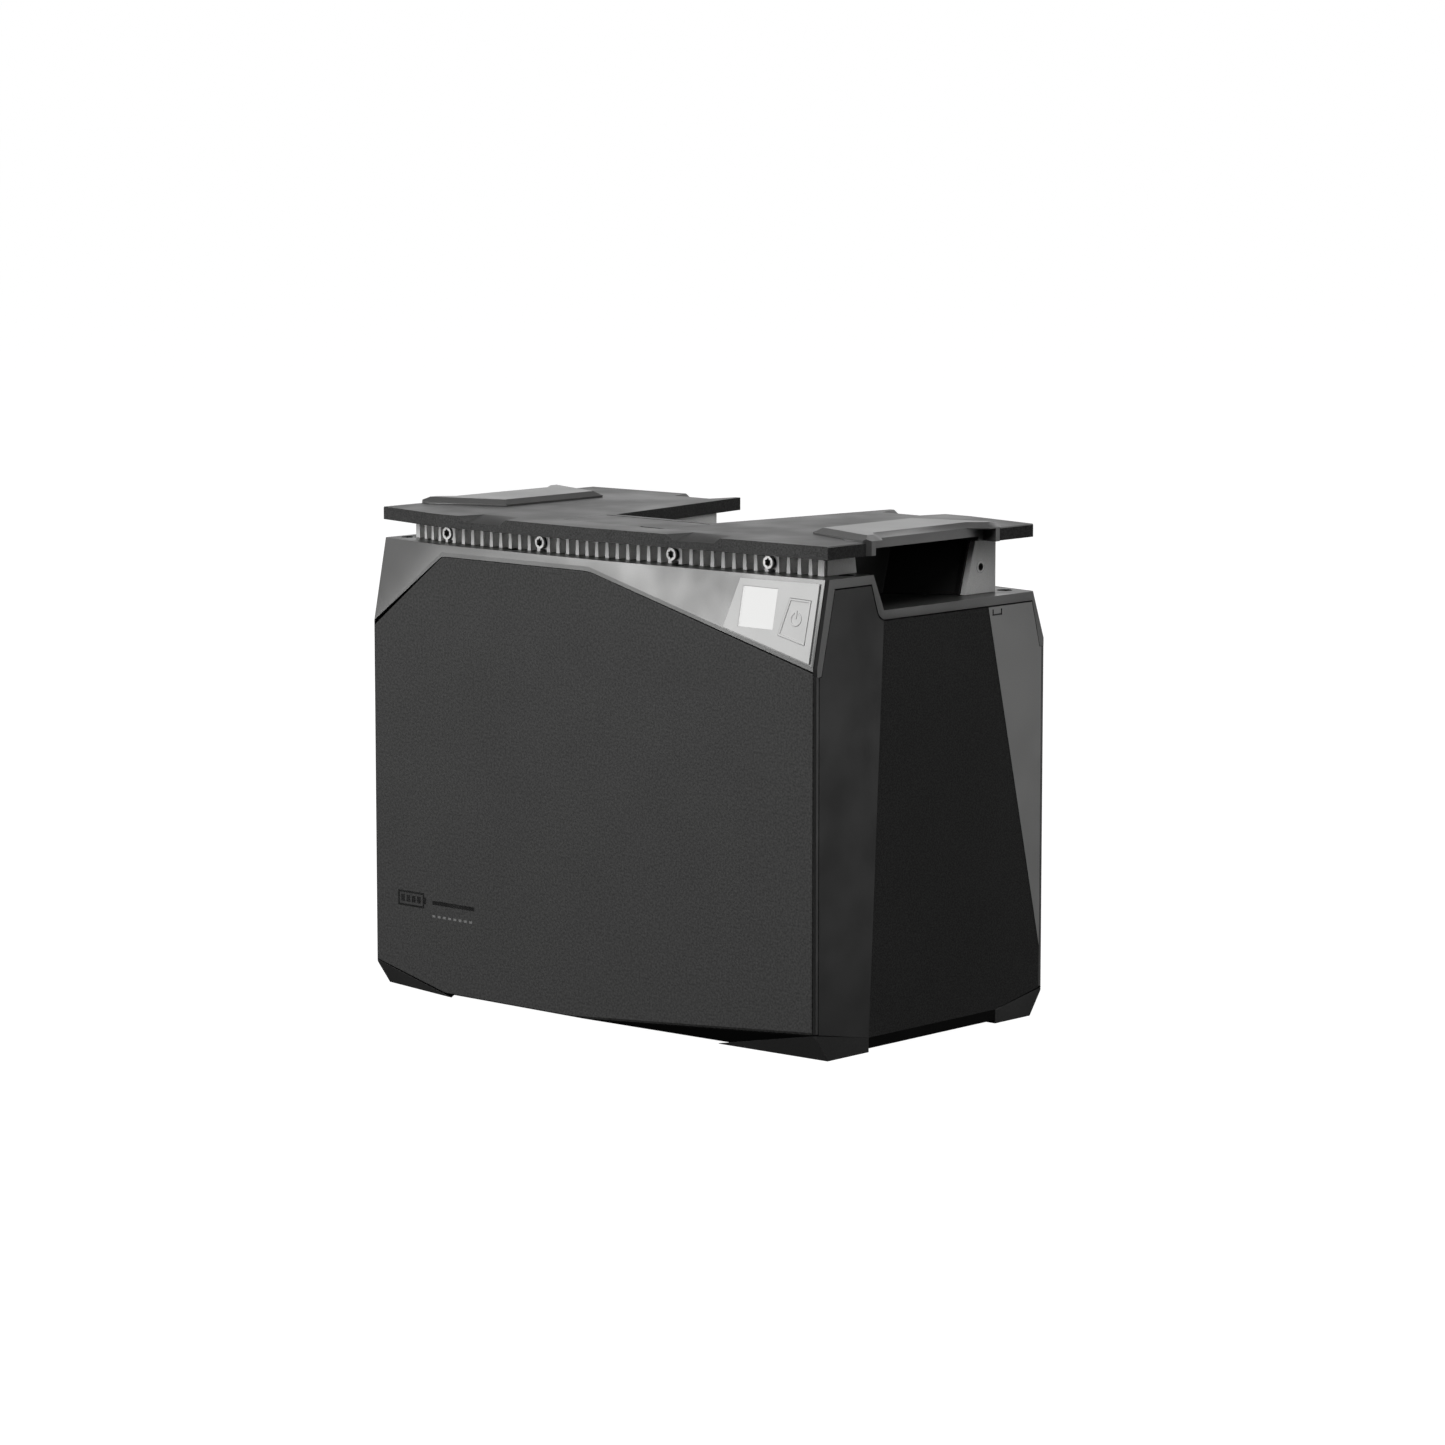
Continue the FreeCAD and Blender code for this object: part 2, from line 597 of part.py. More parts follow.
def make_case_screws():
    screws = []
    for x, y in CASE_SCREWS:
        top = RIDGE_TOP if y < 0 else DECK_TOP
        head_z = top - CASE_HEAD_DEEP
        screws.append(screw(x, y, head_z, head_z - CASE_SCREW_END, 2.4, 4.4, 2.6))
    return Part.makeCompound(screws)


def make_side_cover():
    """The right side cover: a smooth skin with a rough recessed field and a snap slot."""
    cover = prism_x(side_outline(0), BODY_X, HALF_W)
    edge_x = (BODY_X - 1.0, BODY_X + 1.6)
    cover = cut(cover, [box(*edge_x, *sorted((sy * (BODY_Y - 2.5), sy * HALF_D)), 0, BIG) for sy in (-1, 1)])
    field = [(-42.3, DECK_TOP), (47.0, DECK_TOP), (HALF_D + 0.3, 24.0), (HALF_D + 0.3, 0),
             (SIDE_LOW_FRONT - 0.4, 0)]
    cover = cover.cut(prism_x(field, HALF_W - 0.25, HALF_W + OVER))
    slot = box(HALF_W - 1.0, HALF_W + OVER, 52.0, 60.5, 236.4, 240.0)
    tongue = box(HALF_W - 1.0, HALF_W + OVER, 53.0, 59.5, 237.3, 240.5)
    return cover.cut(slot.cut(tongue))


# ---- top frame -----------------------------------------------------------------------------------
def crowned(front_mid, front_end, half):
    """Front polyline of a crowned edge in (X, Y), from left to right."""
    return [(-half, front_end), (-120.0, front_mid), (3.0, front_mid), (half, front_end)]


def fin_places():
    """X of the middle of every fin, from left to right."""
    steps = [FIN_FIRST + FIN_PITCH * k for k in range(FIN_COUNT)]
    return [FIN_MIDDLE - step for step in steps[::-1]] + [FIN_MIDDLE + step for step in steps]


def fin_screw_places():
    """X of the fins that carry a screw pad on their right."""
    return [FIN_MIDDLE + math.copysign(FIN_FIRST + FIN_PITCH * (abs(n) - 1), n) for n in FIN_SCREW_FINS]


def fin_gap(x0, x1):
    """The open space between two neighbouring fins whose middles are at x0 and x1."""
    front = fin_front((x0 + x1) / 2)
    rings = []
    for half, z in ((FIN_THICK_LOW / 2, RIDGE_TOP + 0.1 - OVER), (FIN_THICK_TOP / 2, FRAME_TOP + OVER)):
        left, right = x0 + half, x1 - half
        rings.append([(left, front - 4, z), (right, front - 4, z),
                      (right, front + FIN_DEPTH, z), (left, front + FIN_DEPTH, z)])
    return loft(*rings)


def make_fin_bar():
    z0 = RIDGE_TOP + 0.1
    outline = crowned(FIN_FRONT_MID, FIN_FRONT_END, FRAME_X) + [(FRAME_X, FIN_BAR_REAR),
                                                                (-FRAME_X, FIN_BAR_REAR)]
    bar = prism_z(outline, z0, FRAME_TOP)
    slope = [(FIN_BAR_REAR + OVER, z0 - OVER), (FIN_BAR_REAR + OVER, FRAME_TOP + OVER),
             (FIN_BAR_REAR - 4.4, FRAME_TOP + OVER), (FIN_BAR_REAR - 2.6, z0 - OVER)]
    bar = cut(bar, [prism_x(slope, *sorted((s * (FRAME_X + OVER), s * (WELL_INNER_X + 6)))) for s in (-1, 1)])
    places = fin_places()
    places = [-FIN_END_X - FIN_THICK_LOW / 2] + places + [FIN_END_X + FIN_THICK_LOW / 2]
    screws = fin_screw_places()
    gaps = []
    for x0, x1 in zip(places, places[1:]):
        gap = fin_gap(x0, x1)
        if any(abs(x0 - x) < 0.1 for x in screws):
            gap = gap.common(box(x0, x1, -HALF_D, 0, z0 - OVER, z0 + 1.7))
        gaps.append(gap)
    bar = bar.cut(Part.makeCompound(gaps))
    for x in screws:
        middle = x + FIN_PAD
        front = fin_front(middle)
        pocket = rod((middle, front - 4, fin_screw_z()), (0, 1, 0), FIN_HEAD_R + 0.5, 4 + FIN_POCKET)
        hole = rod((middle, front - 4, fin_screw_z()), (0, 1, 0), FIN_SCREW_R + 0.25, 60.0)
        bar = cut(bar, [pocket, hole])
    front = FIN_FRONT_END
    for side in (-1, 1):
        ends = sorted((side * (FRAME_X - FIN_END_DEEP), side * (FRAME_X + OVER)))
        bar = bar.cut(box(*ends, front + FIN_END_GROOVE[0], front + FIN_END_GROOVE[1],
                          z0 - OVER, FRAME_TOP + OVER))
    well = box(-35, 35, HATCH_FRONT + 5, FIN_BAR_REAR - 1.5, z0 + 2.2, FRAME_TOP + OVER)
    return bar.cut(well)


def fin_screw_z():
    return RIDGE_TOP + 5.5


def fin_front(x):
    """Y of the fin bar's crowned front at x."""
    points = crowned(FIN_FRONT_MID, FIN_FRONT_END, FRAME_X)
    for (x0, y0), (x1, y1) in zip(points, points[1:]):
        if x0 <= x <= x1:
            return y0 + (y1 - y0) * (x - x0) / (x1 - x0)
    return FIN_FRONT_END


def make_fin_screws():
    screws = []
    for place in fin_screw_places():
        x = place + FIN_PAD
        y = fin_front(x) + FIN_POCKET
        z = fin_screw_z()
        head = rod((x, y - FIN_HEAD, z), (0, 1, 0), FIN_HEAD_R, FIN_HEAD)
        shank = rod((x, y, z), (0, 1, 0), FIN_SCREW_R, FIN_BAR_REAR + 9.0 - y)
        star = []
        for k in range(12):
            reach = FIN_SOCKET_R if k % 2 else FIN_SOCKET_R * 0.74
            turn = math.radians(30 * k)
            star.append((x + reach * math.cos(turn), z + reach * math.sin(turn)))
        screws.append(cut(fuse([head, shank]), [prism_y(star, y - FIN_HEAD - OVER, y - 1.6)]))
    return Part.makeCompound(screws)


def well_polygon(z, inset):
    """Plan of the right handle well at height z, made smaller by inset; only its rear wall leans."""
    lean = 8.5 * (z - DECK_TOP) / (FRAME_TOP - DECK_TOP) - inset
    inner = WELL_INNER_X + inset
    outer = HALF_W + 12
    return [(outer, inset - 45.5), (outer, 45.5 + lean), (WELL_ELBOW_X + inset / 2, 44.5 + lean),
            (inner, 23.0 + lean), (inner, inset - 23.0), (WELL_ELBOW_X + inset / 2, inset - 44.5)]


def well_block(z0, z1, inset):
    low = [(x, y, z0) for x, y in well_polygon(z0, inset)]
    high = [(x, y, z1) for x, y in well_polygon(z1, inset)]
    return loft(low, high)


def bay_half(y):
    share = (y - BAY_FRONT_Y) / (BAY_REAR_Y - BAY_FRONT_Y)
    return BAY_FRONT_X + (BAY_REAR_X - BAY_FRONT_X) * share


def bay_block(z0, z1, grow):
    plan = [(-BAY_FRONT_X - grow, BAY_FRONT_Y - grow), (BAY_FRONT_X + grow, BAY_FRONT_Y - grow),
            (BAY_REAR_X + grow, BAY_REAR_Y), (-BAY_REAR_X - grow, BAY_REAR_Y)]
    return prism_z(plan, z0, z1)


def make_frame_rail():
    """The cross rail behind the fin bar, which steps down from the ridge to the deck."""
    z0 = DECK_TOP + 0.1
    front = FIN_BAR_REAR + 0.1
    step = RIDGE_TOP + 0.1
    outline = [(front, step), (front, FRAME_TOP), (RAIL_REAR, FRAME_TOP), (RAIL_REAR, z0),
               (RIDGE_REAR_FOOT + 0.2, z0)]
    rail = prism_x(outline, -RAIL_X, RAIL_X)
    wells = [well_block(z0 - 1, FRAME_TOP + 1, 0)]
    wells.append(mirrored(wells[0]))
    taps = [rod((x + FIN_PAD, front - OVER, fin_screw_z()), (0, 1, 0), FIN_SCREW_R + 0.05, 9.3 + OVER)
            for x in fin_screw_places()]
    return cut(rail, wells + taps)


def frame_block(x0, x1, front):
    """A stretch of the right side frame, cut out for the handle well and the connector bay."""
    z0 = DECK_TOP + 0.1
    block = box(x0, x1, front, FRAME_REAR, z0, FRAME_TOP)
    return cut(block, [well_block(z0 - 1, FRAME_TOP + 1, 0), bay_block(z0 - 1, FRAME_TOP + 1, 1.0)])


def make_side_frame():
    """The right side frame: a hollow block with a heat spreader and ribs."""
    z0 = DECK_TOP + 0.1
    front = RAIL_REAR + 0.1
    frame = frame_block(BAY_FRONT_X + 1.0, WELL_INNER_X - 0.05, front)
    frame = frame.cut(box(64.0, WELL_INNER_X - 4.0, front + 4.0, FRAME_REAR - 4.0,
                          z0 - OVER, FRAME_TOP - 4.0))
    foot_z = BOARD_Z + BOARD_THICK + 5.5
    pieces = [frame, box(66.0, 108.0, -26, 46, foot_z, foot_z + 5.0)]
    for k in range(6):
        left = 66.0 + 7.8 * k
        pieces.append(box(left, left + 3.0, -26, 46, foot_z + 4.0, FRAME_TOP - 3.0))
        pieces.append(box(left, left + 3.0, front + 1.0, 64, z0 + 6.0, FRAME_TOP - 3.0))
    return fuse(pieces)


def make_frame_ends():
    """The front gusset and the rear post at the outer end of the right side frame."""
    ends = frame_block(WELL_INNER_X + 0.05, FRAME_X, RAIL_REAR + 0.1)
    core = rod((FRAME_X + OVER, INSERT_Y, INSERT_Z), (-1, 0, 0), INSERT_R, INSERT_LENGTH + OVER)
    ends = ends.cut(core)
    kept = [solid for solid in ends.Solids if solid.Volume > 100.0 and solid.CenterOfMass.x < FRAME_X - 5.0]
    return Part.makeCompound(kept)


def make_inserts():
    parts = []
    for s in (-1, 1):
        body = rod((s * FRAME_X, INSERT_Y, INSERT_Z), (-s, 0, 0), INSERT_R - 0.02, INSERT_LENGTH)
        bore = rod((s * (FRAME_X + OVER), INSERT_Y, INSERT_Z), (-s, 0, 0), INSERT_BORE_R, INSERT_LENGTH - 1.5)
        parts.append(body.cut(bore))
    return Part.makeCompound(parts)


def make_well_liner():
    """The black liner of the right handle well: inner wall and two slanting walls."""
    z0 = DECK_TOP + 0.1
    z1 = FRAME_TOP - 0.1
    wall = well_block(z0, z1, 0.05).cut(well_block(z0 - 1, z1 + 1, LINER))
    return wall.common(box(0, FRAME_X - 3.6, RIDGE_REAR_FOOT + 0.2, 60, z0, z1))


# ---- top cover, grips and hatch ------------------------------------------------------------------
def cover_plan():
    front = crowned(COVER_FRONT_MID, COVER_FRONT_END, COVER_X)
    rear = [(-x, -y) for x, y in crowned(-COVER_REAR_MID, -COVER_REAR_END, COVER_X)]
    return front + rear


def edge_recess(x, front_y):
    """A ramped recess in the cover's front edge, deepest at the edge, with flared sides."""
    low = COVER_TOP - RECESS_DEEP
    back = front_y + RECESS_LONG
    block = box(x - RECESS_TOP, x + RECESS_TOP, front_y - 3.0, back, low - 2.0, COVER_TOP + 1.0)
    slim = RECESS_LOW / 2
    wide = RECESS_TOP / 2
    ramp = beyond((x - slim, front_y, low), (x + slim, front_y, low), (x, back, COVER_TOP), (x, 0, -BIG))
    sides = [beyond((x + s * slim, front_y, low), (x + s * slim, back, COVER_TOP),
                    (x + s * wide, front_y, COVER_TOP), (x + s * BIG, 0, low)) for s in (-1, 1)]
    return cut(block, [ramp] + sides)


def make_top_cover():
    z0 = COVER_TOP - COVER_THICK
    cover = prism_z(cover_plan(), z0, COVER_TOP)
    bay = bay_block(z0 - 1, COVER_TOP + 1, 0)
    recesses = [edge_recess(-RECESS_X, COVER_FRONT_MID), edge_recess(RECESS_X, COVER_FRONT_MID + 4.6)]
    recesses += [turned(edge_recess(-RECESS_X, -COVER_REAR_MID)),
                 turned(edge_recess(RECESS_X, -COVER_REAR_MID + 4.6))]
    ends = [grip_seat(0.3)]
    ends.append(mirrored(ends[0]))
    lid = box(-HATCH_X, HATCH_X, HATCH_FRONT, HATCH_REAR, COVER_TOP - HATCH_THICK - 0.1, COVER_TOP + 1)
    shaft = box(-HATCH_X + 5, HATCH_X - 5, HATCH_FRONT + 5, HATCH_REAR - 6, z0 - 1, COVER_TOP)
    knuckles = box(-HATCH_X, HATCH_X, HATCH_PIN_Y - 2.0, HATCH_REAR, COVER_TOP - 4.6, COVER_TOP + 1)
    nail = loft([(22, HATCH_FRONT - 3.2, COVER_TOP + 0.1), (38, HATCH_FRONT - 3.2, COVER_TOP + 0.1),
                 (40, HATCH_FRONT + 0.1, COVER_TOP + 0.1), (20, HATCH_FRONT + 0.1, COVER_TOP + 0.1)],
                [(24, HATCH_FRONT - 1.55, COVER_TOP - 2.6), (36, HATCH_FRONT - 1.55, COVER_TOP - 2.6),
                 (37, HATCH_FRONT + 0.1, COVER_TOP - 2.6), (23, HATCH_FRONT + 0.1, COVER_TOP - 2.6)])
    pin = rod((-HATCH_X - 4, HATCH_PIN_Y, HATCH_PIN_Z), (1, 0, 0), HATCH_PIN_R, 2 * HATCH_X + 8)
    cover = cut(cover, [bay] + recesses + ends + [lid, shaft, knuckles, nail, pin])
    top_edges = [e for e in cover.Edges if is_rim(e)]
    try:
        cover = cover.makeChamfer(0.6, top_edges)
    except Part.OCCError:
        print("top cover: rim left sharp")
    return cover


def is_rim(edge):
    """True for the cover's long outer edges at its top face."""
    box_ = edge.BoundBox
    flat = abs(box_.ZMin - COVER_TOP) < 1e-3 and abs(box_.ZMax - COVER_TOP) < 1e-3
    outside = abs(box_.XMin) > COVER_X - 0.1 and abs(box_.XMax) > COVER_X - 0.1
    return flat and outside and edge.Length > 20


def grip_seat(clear):
    """The block that the right grip takes out of the top cover's end."""
    plan = [(148 - clear, -48 - clear), (160.0, -GRIP_LUG_OUT - clear), (GRIP_X + 1, -GRIP_LUG_OUT - clear),
            (GRIP_X + 1, GRIP_LUG_OUT + clear), (160.0, GRIP_LUG_OUT + clear), (148 - clear, 48 + clear)]
    return prism_z(plan, COVER_TOP - COVER_THICK - 1, COVER_TOP + 1)


def make_grip():
    """The right carry grip: a bevelled cap on the cover whose outer edge wraps down between two lugs."""
    z0 = COVER_TOP + 0.1
    step = z0 + 0.9
    low = [(GRIP_IN_X, -41.0), (GRIP_X, -60.5), (GRIP_X, 60.5), (GRIP_IN_X, 41.0)]
    slope = (low[3][1] - low[2][1]) / (low[3][0] - low[2][0])
    inner_y = 55.5 + slope * (126.0 - GRIP_X)
    high = [(126.0, -inner_y), (GRIP_X, -55.5), (GRIP_X, 55.5), (126.0, inner_y)]
    cap = fuse([prism_z(low, z0, step),
                loft([(x, y, step) for x, y in low], [(x, y, GRIP_TOP) for x, y in high])])
    block = grip_seat(0).common(box(0, GRIP_X, -80, 80, COVER_TOP - COVER_THICK, z0 + 0.05))
    hollow = prism_z([(150, -46), (178, -48.5), (178, 48.5), (150, 46)], 270, GRIP_UNDER)
    scoop_low = [(GRIP_EDGE_X, -37.0), (GRIP_X + 2, -48.5), (GRIP_X + 2, 48.5), (GRIP_EDGE_X, 37.0)]
    reach = 40.5 + (48.5 - 37.0) / (GRIP_X + 2 - GRIP_EDGE_X) * (GRIP_X + 2 - 164.6)
    scoop_high = [(164.6, -40.5), (GRIP_X + 2, -reach), (GRIP_X + 2, reach), (164.6, 40.5)]
    bevel_z = GRIP_TOP - 3.0
    scoop = prism_z(scoop_low, 270, bevel_z + 0.01)
    bevel = loft([(x, y, bevel_z) for x, y in scoop_low], [(x, y, GRIP_TOP + 0.01) for x, y in scoop_high])
    corner = beyond((GRIP_X, 0, bevel_z), (GRIP_X, 1, bevel_z), (172.4, 0, GRIP_TOP), (BIG, 0, BIG))
    tapers = [beyond((GRIP_X, s * 48.5, COVER_TOP), (GRIP_X, s * 51.0, 278.0), (160, s * 51.0, 278.0),
                     (GRIP_X, 0, 270)) for s in (-1, 1)]
    edges = [beyond((GRIP_X, s * 55.6, 0), (GRIP_X, s * 55.6, 10), (GRIP_X - 2.0, s * GRIP_LUG_OUT, 0),
                    (GRIP_X, s * BIG, 0)) for s in (-1, 1)]
    tapers = [t.common(box(GRIP_EDGE_X, GRIP_X + 1, -52, 52, 270, COVER_TOP)) for t in tapers]
    return cut(fuse([cap, block]), [hollow, scoop, bevel, corner] + edges + tapers)


def make_hatch_lid():
    z0 = COVER_TOP - HATCH_THICK
    lid = box(-HATCH_X + GAP, HATCH_X - GAP, HATCH_FRONT + GAP, HATCH_PIN_Y, z0, COVER_TOP)
    barrel = rod((-HATCH_X + GAP, HATCH_PIN_Y, HATCH_PIN_Z), (1, 0, 0), 1.45, 2 * (HATCH_X - GAP))
    lip = box(-20, 20, HATCH_FRONT + 5.6, HATCH_FRONT + 6.8, z0 - 2.2, z0 + 0.1)
    lid = fuse([lid, lip, barrel])
    bore = rod((-HATCH_X, HATCH_PIN_Y, HATCH_PIN_Z), (1, 0, 0), HATCH_PIN_R + 0.06, 2 * HATCH_X)
    return lid.cut(bore)


def make_service_block():
    """What the hatch covers: a data socket, four setting switches and a reset key on one block."""
    z0 = RIDGE_TOP + 2.4
    top = FRAME_TOP - 3.0
    block = box(-34, 34, HATCH_FRONT + 6, FIN_BAR_REAR - 2.5, z0, top)
    socket = box(-26, -16.6, -63.5, -60.1, top - 4.2, top + 1)
    tongue = box(-25, -17.6, -62.2, -61.4, top - 4.3, top - 0.8)
    switches = box(-6, 8, -65, -57, top, top + 2.0)
    sliders = [box(-4.6 + 3.1 * k, -3.1 + 3.1 * k, -64, -58, top + 1.0, top + 2.2) for k in range(4)]
    levers = [box(-4.5 + 3.1 * k, -3.2 + 3.1 * k, -63.5 + (k % 2) * 2.6, -61.1 + (k % 2) * 2.6,
                  top + 1.0, top + 2.0) for k in range(4)]
    reset = rod((22, -61, top), (0, 0, 1), 3.2, 1.6)
    return fuse([cut(fuse([block, switches, reset]), [socket] + sliders), tongue] + levers)


# ---- display -------------------------------------------------------------------------------------
def make_fascia():
    fascia = prism_z(grown(FASCIA, -0.08), FASCIA_PROUD - FASCIA_THICK, FASCIA_PROUD)
    key = prism_z(grown(KEY, KEY_GAP), -5, 5)
    window = box(LCD[0], LCD[1], LCD[2], LCD[3], FASCIA_PROUD - 0.5, 5)
    return on_display(cut(fascia, [key, window]))


def make_lcd():
    """The display's glass, which fills the fascia's window."""
    glass = box(LCD[0] + 0.1, LCD[1] - 0.1, LCD[2] + 0.1, LCD[3] - 0.1,
                FASCIA_PROUD - 0.45, FASCIA_PROUD - 0.05)
    return on_display(glass)


def make_display_board():
    """Circuit board behind the fascia, with its display backlight and a sealed socket."""
    back = FASCIA_PROUD - FASCIA_THICK
    board = prism_z(grown(FASCIA, -4.0), back - 5.6, back - 4.0)
    light = box(LCD[0], LCD[1], LCD[2], LCD[3], back - 4.0, back - 0.1)
    plug = box(-48, -38, 22, 30, back - 9.0, back - 5.6)
    (cx, cy), _ = power_symbol()
    switch = box(cx - 3, cx + 3, cy - 7, cy - 1, back - 4.1, back - 1.5)
    return on_display(fuse([board, light, plug, switch]))


def make_power_key():
    """The power key: a plate that rocks about its upper edge, with a raised border and symbol."""
    top = FASCIA_PROUD - 0.1
    plate = prism_z(list(KEY), top - KEY_THICK, top)
    frame = prism_z(list(KEY), top, top + 0.35).cut(prism_z(grown(KEY, -1.1), top - 1, top + 1))
    (cx, cy), r = power_symbol()
    ring = rod((cx, cy, top - 0.01), (0, 0, 1), r, 0.3).cut(rod((cx, cy, top - 1), (0, 0, 1), r - 0.9, 3))
    ring = ring.cut(box(cx - 1.4, cx + 1.4, cy, cy + r + 1, top - 1, top + 1))
    bar = box(cx - 0.45, cx + 0.45, cy + 0.3, cy + r + 0.7, top - 0.01, top + 0.29)
    stem = rod((cx, cy - 4.0, top - KEY_THICK - 1.6), (0, 0, 1), 1.6, 1.7)
    return on_display(fuse([plate, frame, ring, bar, stem]))


def power_symbol():
    return (-17.6, 26.2), 4.0


# ---- cells and electronics -----------------------------------------------------------------------
def cell_x(i):
    """Left face of cell i."""
    length = CELL_COUNT * CELL_THICK + (CELL_COUNT - 1) * CELL_PAD
    return -length / 2 + i * (CELL_THICK + CELL_PAD)


def make_cells():
    cells = []
    top = CELL_FLOOR + CELL_HEIGHT
    for i in range(CELL_COUNT):
        x = cell_x(i)
        can = box(x, x + CELL_THICK, -CELL_WIDTH / 2, CELL_WIDTH / 2, CELL_FLOOR, top)
        poles = [rod((x + CELL_THICK / 2, s * 50.0, top - 0.5), (0, 0, 1), 6.0, 3.5) for s in (-1, 1)]
        vent = rod((x + CELL_THICK / 2, 0, top - 0.3), (0, 0, 1), 5.0, 0.8)
        cells.append(fuse([can, vent] + poles))
    return Part.makeCompound(cells)


def make_cell_pads():
    return Part.makeCompound([box(cell_x(i) - CELL_PAD + 0.05, cell_x(i) - 0.05, -CELL_WIDTH / 2 + 4,
                                  CELL_WIDTH / 2 - 4, CELL_FLOOR + 3, CELL_FLOOR + CELL_HEIGHT - 3)
                              for i in range(1, CELL_COUNT)])


def make_cell_tray():
    """The foam tray that the cells stand in."""
    end = -cell_x(0) + END_PLATE + 1.0
    half = CELL_WIDTH / 2
    tray = box(-end, end, -half - 2.6, half + 2.6, 6.4, CELL_FLOOR + 18)
    return tray.cut(box(-end - 1, end + 1, -half - 0.2, half + 0.2, CELL_FLOOR - 0.1, CELL_FLOOR + 30))


def make_end_plate():
    """The right end plate of the cell stack, with ribs pocketed out."""
    x = -cell_x(0) + 0.1
    half = CELL_WIDTH / 2
    plate = box(x, x + END_PLATE, -half + 0.5, half - 0.5, CELL_FLOOR, CELL_FLOOR + CELL_HEIGHT - 2)
    pockets = [box(x + 2.5, x + END_PLATE + 1, -half + 8 + k * 34.5, -half + 36 + k * 34.5,
                   CELL_FLOOR + 24, CELL_FLOOR + CELL_HEIGHT - 24) for k in range(4)]
    return cut(plate, pockets)


def make_straps():
    """Two steel bands around the cell stack."""
    end = -cell_x(0) + END_PLATE + 0.2
    half = CELL_WIDTH / 2 + 0.3
    bands = []
    for z in (CELL_FLOOR + 40, CELL_FLOOR + CELL_HEIGHT - 22):
        outer = box(-end - 0.8, end + 0.8, -half - 0.8, half + 0.8, z, z + 14)
        bands.append(outer.cut(box(-end, end, -half, half, z - 1, z + 15)))
    return Part.makeCompound(bands)


def make_busbars():
    z = CELL_FLOOR + CELL_HEIGHT + 3.1
    bars = []
    for i in range(CELL_COUNT - 1):
        s = 1 if i % 2 else -1
        x = cell_x(i) + CELL_THICK / 2
        bars.append(box(x - 6.5, x + CELL_THICK + CELL_PAD + 6.5, s * 50 - 9, s * 50 + 9, z, z + 2))
    for i, s in ((0, 1), (CELL_COUNT - 1, -1 if CELL_COUNT % 2 else 1)):
        x = cell_x(i) + CELL_THICK / 2
        bars.append(box(x - 8, x + 8, s * 50 - 9, s * 50 + 12, z, z + 2))
    return Part.makeCompound(bars)


def make_electronics_carrier():
    """The plastic deck over the cells that carries the control board on legs."""
    z = CELL_FLOOR + CELL_HEIGHT + 6.2
    deck = box(-150, 150, -80, 80, z, z + 3)
    windows = [box(-140 + 71 * k, -140 + 61 + 71 * k, s * 50 - 16, s * 50 + 16, z - 1, z + 4)
               for k in range(4) for s in (-1, 1)]
    walls = [box(-150, 150, s * 80 - (2.4 if s > 0 else 0), s * 80 + (0 if s > 0 else 2.4), z, z + 18)
             for s in (-1, 1)]
    legs = [box(x - 4, x + 4, y - 4, y + 4, z + 2, BOARD_Z - 0.1) for x in (-126, 0, 126) for y in (-72, 72)]
    beams = [box(-130, 130, s * 72 - 4, s * 72 + 4, BOARD_Z - 6, BOARD_Z - 0.1) for s in (-1, 1)]
    rest = [box(x - 5, x + 5, y - 6, y + 6, CELL_FLOOR + CELL_HEIGHT + 0.1, z + 1)
            for x in (-149, 149) for y in (-25, 25)]
    ways = [rod((s * 150.0, 57.0, z - 1), (0, 0, 1), 5.0, 6.0) for s in (-1, 1)]
    return cut(fuse([cut(deck, windows)] + walls + legs + beams + rest), ways)


def make_control_board():
    board = box(-134, 134, -78, 78, BOARD_Z, BOARD_Z + BOARD_THICK)
    notches = [box(s * 134 - 14, s * 134 + 14, 40, 79, BOARD_Z - 1, BOARD_Z + 3) for s in (-1, 1)]
    return cut(board, notches)


def make_transistors():
    z = BOARD_Z + BOARD_THICK + 0.05
    return [box(s * 87 - 20 + 14 * i, s * 87 - 10 + 14 * i, -22 + 17 * j, -8 + 17 * j, z, z + 4.4)
            for s in (-1, 1) for i in range(3) for j in range(4)]


def make_thermal_pads():
    z = BOARD_Z + BOARD_THICK + 4.5
    return Part.makeCompound([box(*sorted((s * 66.5, s * 107.5)), -25.5, 45.5, z, z + 0.95) for s in (-1, 1)])


def make_board_parts():
    """Capacitors, current shunt, microcontroller and connectors on the control board."""
    z = BOARD_Z + BOARD_THICK + 0.05
    cans = [rod((-45 + 13 * k, -62, z), (0, 0, 1), 5.0, 16.0) for k in range(4)]
    shunt = [box(-40, -12, 50, 62, z, z + 3)]
    chips = [box(14, 28, -18, -4, z, z + 1.6), box(34, 44, -16, -8, z, z + 1.4),
             box(14, 22, 6, 14, z, z + 1.4)]
    sockets = [box(-52, -28, -30, -22, z, z + 7), box(20, 44, -70, -62, z, z + 7)]
    return cans + shunt + chips + sockets


def make_main_fuse():
    z = BOARD_Z + BOARD_THICK + 0.05
    body = rod((12, 56, z + 8), (1, 0, 0), 6.5, 24.0)
    caps = [rod((12, 56, z + 8), (1, 0, 0), 7.2, 5.0), rod((31, 56, z + 8), (1, 0, 0), 7.2, 5.0)]
    blades = [box(2, 14, 51, 61, z + 6.5, z + 9.5), box(34, 46, 51, 61, z + 6.5, z + 9.5)]
    feet = [box(2, 8, 51, 61, z, z + 7), box(40, 46, 51, 61, z, z + 7)]
    return fuse([body] + caps + blades + feet)


